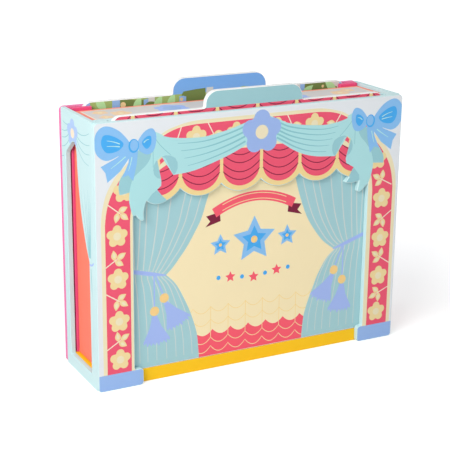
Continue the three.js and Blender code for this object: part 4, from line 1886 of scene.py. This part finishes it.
@dataclass
class StorageBox:
    """The box in the bay, with its printed lid."""

    walls: tuple[tuple[str, BoardFinish], ...] = (
        ("storage_box_base", ORANGE_FLAT), ("storage_box_front", ORANGE), ("storage_box_back", ORANGE),
        ("storage_box_end_left", ORANGE_END), ("storage_box_end_right", ORANGE_END))
    battens: tuple[str, ...] = ("lid_batten_left", "lid_batten_right")
    pieces: list[bpy.types.Object] = field(default_factory=list)

    def build(self) -> None:
        """Builds the box and its lid."""
        for node, paint in self.walls:
            self.dress(Board(node, paint), "storage_box", "orange_board")
        lid = Board("storage_lid", ORANGE_FLAT)
        lid.print_face(Facing.TOP, LidPrint().artwork(*lid.face_box(Facing.TOP)))
        self.dress(lid, "storage_lid", "lid_print")
        for node in self.battens:
            self.dress(Board(node, ORANGE_FLAT), "storage_lid", "orange_board")

    def dress(self, board: Board, body: str, slot: str) -> None:
        """Finishes one board of the box or the lid."""
        self.pieces.append(board.finish(body, slot))


# Camera, floor and lights


@dataclass(frozen=True)
class Lamp:
    """One soft square lamp, with its place, width, power in watts and colour."""

    name: str
    place: Axis
    size: float
    power: float
    colour: Axis

    def hang(self, target: Axis) -> None:
        """Hangs the lamp so that it looks at a point.

        Args:
            target: The point.
        """
        data = bpy.data.lights.new(self.name, "AREA")
        data.size = self.size
        data.energy = self.power
        data.color = self.colour
        lamp = bpy.data.objects.new(self.name, data)
        lamp.location = self.place
        lamp.rotation_euler = (Vector(self.place) - Vector(target)).to_track_quat("Z", "Y").to_euler()
        bpy.context.scene.collection.objects.link(lamp)


@dataclass(frozen=True)
class Studio:
    """A pale floor, soft lamps and the camera at the photograph's angle."""

    azimuth: float = -27.67
    elevation: float = 16.92
    roll: float = 0.6
    distance: float = 1.4307
    aside: float = 0.01107
    lift: float = -0.00273
    target: Axis = (0.0002, -0.0006, 0.15)
    lens: float = 98.67
    view_end: float = 200.0
    floor_size: float = 60.0
    floor_colour: Colour = (0.86, 0.86, 0.86, 1.0)
    floor_roughness: float = 0.9
    floor_fade: tuple[float, float] = (0.35, 0.9)
    floor_glow: tuple[float, float] = (0.45, 0.8)
    world_colour: Colour = (0.96, 0.98, 1.0, 1.0)
    world_light: float = 0.40
    lamps: tuple[Lamp, ...] = (
        Lamp("key_lamp", (-1.5, -1.1, 1.15), 1.0, 24.5, (1.0, 0.99, 0.97)),
        Lamp("fill_lamp", (-0.4, -1.9, 1.6), 1.6, 6.8, (0.98, 0.99, 1.0)),
        Lamp("top_lamp", (-1.0, -0.1, 1.7), 1.2, 7.0, (0.98, 0.99, 1.0)))

    def camera(self) -> None:
        """Places the camera."""
        turn, rise, tilt = (math.radians(a) for a in (self.azimuth, self.elevation, self.roll))
        back = Vector((math.sin(turn) * math.cos(rise), -math.cos(turn) * math.cos(rise), math.sin(rise)))
        right = Vector((math.cos(turn), math.sin(turn), 0.0))
        upward = back.cross(right)
        c, s = math.cos(tilt), math.sin(tilt)
        across, above = right * c + upward * s, upward * c - right * s
        place = Vector(self.target) - across * self.aside - above * self.lift + back * self.distance
        data = bpy.data.cameras.new("photo_camera")
        data.lens = self.lens
        data.clip_end = self.view_end
        eye = bpy.data.objects.new("photo_camera", data)
        turned = Matrix((across, above, back)).transposed().to_4x4()
        eye.matrix_world = Matrix.Translation(place) @ turned
        bpy.context.scene.collection.objects.link(eye)
        bpy.context.scene.camera = eye

    def floor(self) -> None:
        """Lays a plain white floor that keeps the object's shadow."""
        mesh = bmesh.new()
        bmesh.ops.create_grid(mesh, x_segments=1, y_segments=1, size=self.floor_size)
        data = bpy.data.meshes.new("studio_floor")
        mesh.to_mesh(data)
        mesh.free()
        floor = bpy.data.objects.new("studio_floor", data)
        bpy.context.scene.collection.objects.link(floor)
        paper = bpy.data.materials.new("floor_paper")
        paper.use_nodes = True
        tree = paper.node_tree
        shader = tree.nodes["Principled BSDF"]
        shader.inputs["Base Color"].default_value = self.floor_colour
        shader.inputs["Roughness"].default_value = self.floor_roughness
        shader.inputs["Specular IOR Level"].default_value = 0.0
        shader.inputs["Emission Color"].default_value = WHITE
        path = tree.nodes.new("ShaderNodeLightPath")
        reach = tree.nodes.new("ShaderNodeVectorMath")
        reach.operation = "LENGTH"
        tree.links.new(tree.nodes.new("ShaderNodeTexCoord").outputs["Object"], reach.inputs[0])
        outward = tree.nodes.new("ShaderNodeMapRange")
        outward.inputs["From Min"].default_value, outward.inputs["From Max"].default_value = self.floor_fade
        outward.inputs["To Min"].default_value, outward.inputs["To Max"].default_value = self.floor_glow
        tree.links.new(reach.outputs["Value"], outward.inputs["Value"])
        glow = maths(tree, "MULTIPLY", path.outputs["Is Camera Ray"], outward.outputs["Result"])
        tree.links.new(glow, shader.inputs["Emission Strength"])
        data.materials.append(paper)

    def world(self) -> None:
        """Lights the room softly and shows white behind the object."""
        world = bpy.data.worlds.new("studio_world")
        bpy.context.scene.world = world
        world.use_nodes = True
        tree = world.node_tree
        tree.nodes.clear()
        light = tree.nodes.new("ShaderNodeBackground")
        light.inputs["Color"].default_value = self.world_colour
        light.inputs["Strength"].default_value = self.world_light
        shown = tree.nodes.new("ShaderNodeBackground")
        shown.inputs["Color"].default_value = WHITE
        path = tree.nodes.new("ShaderNodeLightPath")
        seen = maths(tree, "MAXIMUM", path.outputs["Is Camera Ray"], path.outputs["Is Glossy Ray"])
        mix = tree.nodes.new("ShaderNodeMixShader")
        output = tree.nodes.new("ShaderNodeOutputWorld")
        tree.links.new(seen, mix.inputs[0])
        tree.links.new(light.outputs[0], mix.inputs[1])
        tree.links.new(shown.outputs[0], mix.inputs[2])
        tree.links.new(mix.outputs[0], output.inputs["Surface"])

    def build(self) -> None:
        """Sets up the whole studio."""
        self.camera()
        self.floor()
        self.world()
        for lamp in self.lamps:
            lamp.hang(self.target)
        bpy.context.scene.view_settings.view_transform = "Standard"


def main() -> None:
    """Builds the stand and the studio, and reports each piece."""
    logging.basicConfig(level=logging.INFO, format="%(name)s: %(message)s")
    Studio().build()
    parts = (
        Case(),
        LiftBoard("curtain_board", "curtain_print", CurtainPrint().artwork(), CurtainBackPrint().artwork()),
        LiftBoard("backdrop_board", "backdrop_print", SceneryPrint().artwork(), DuskPrint().artwork()),
        StorageBox())
    for part in parts:
        part.build()
        LOG.info("%s: %d pieces", type(part).__name__, len(part.pieces))


if __name__ == "__main__":
    main()
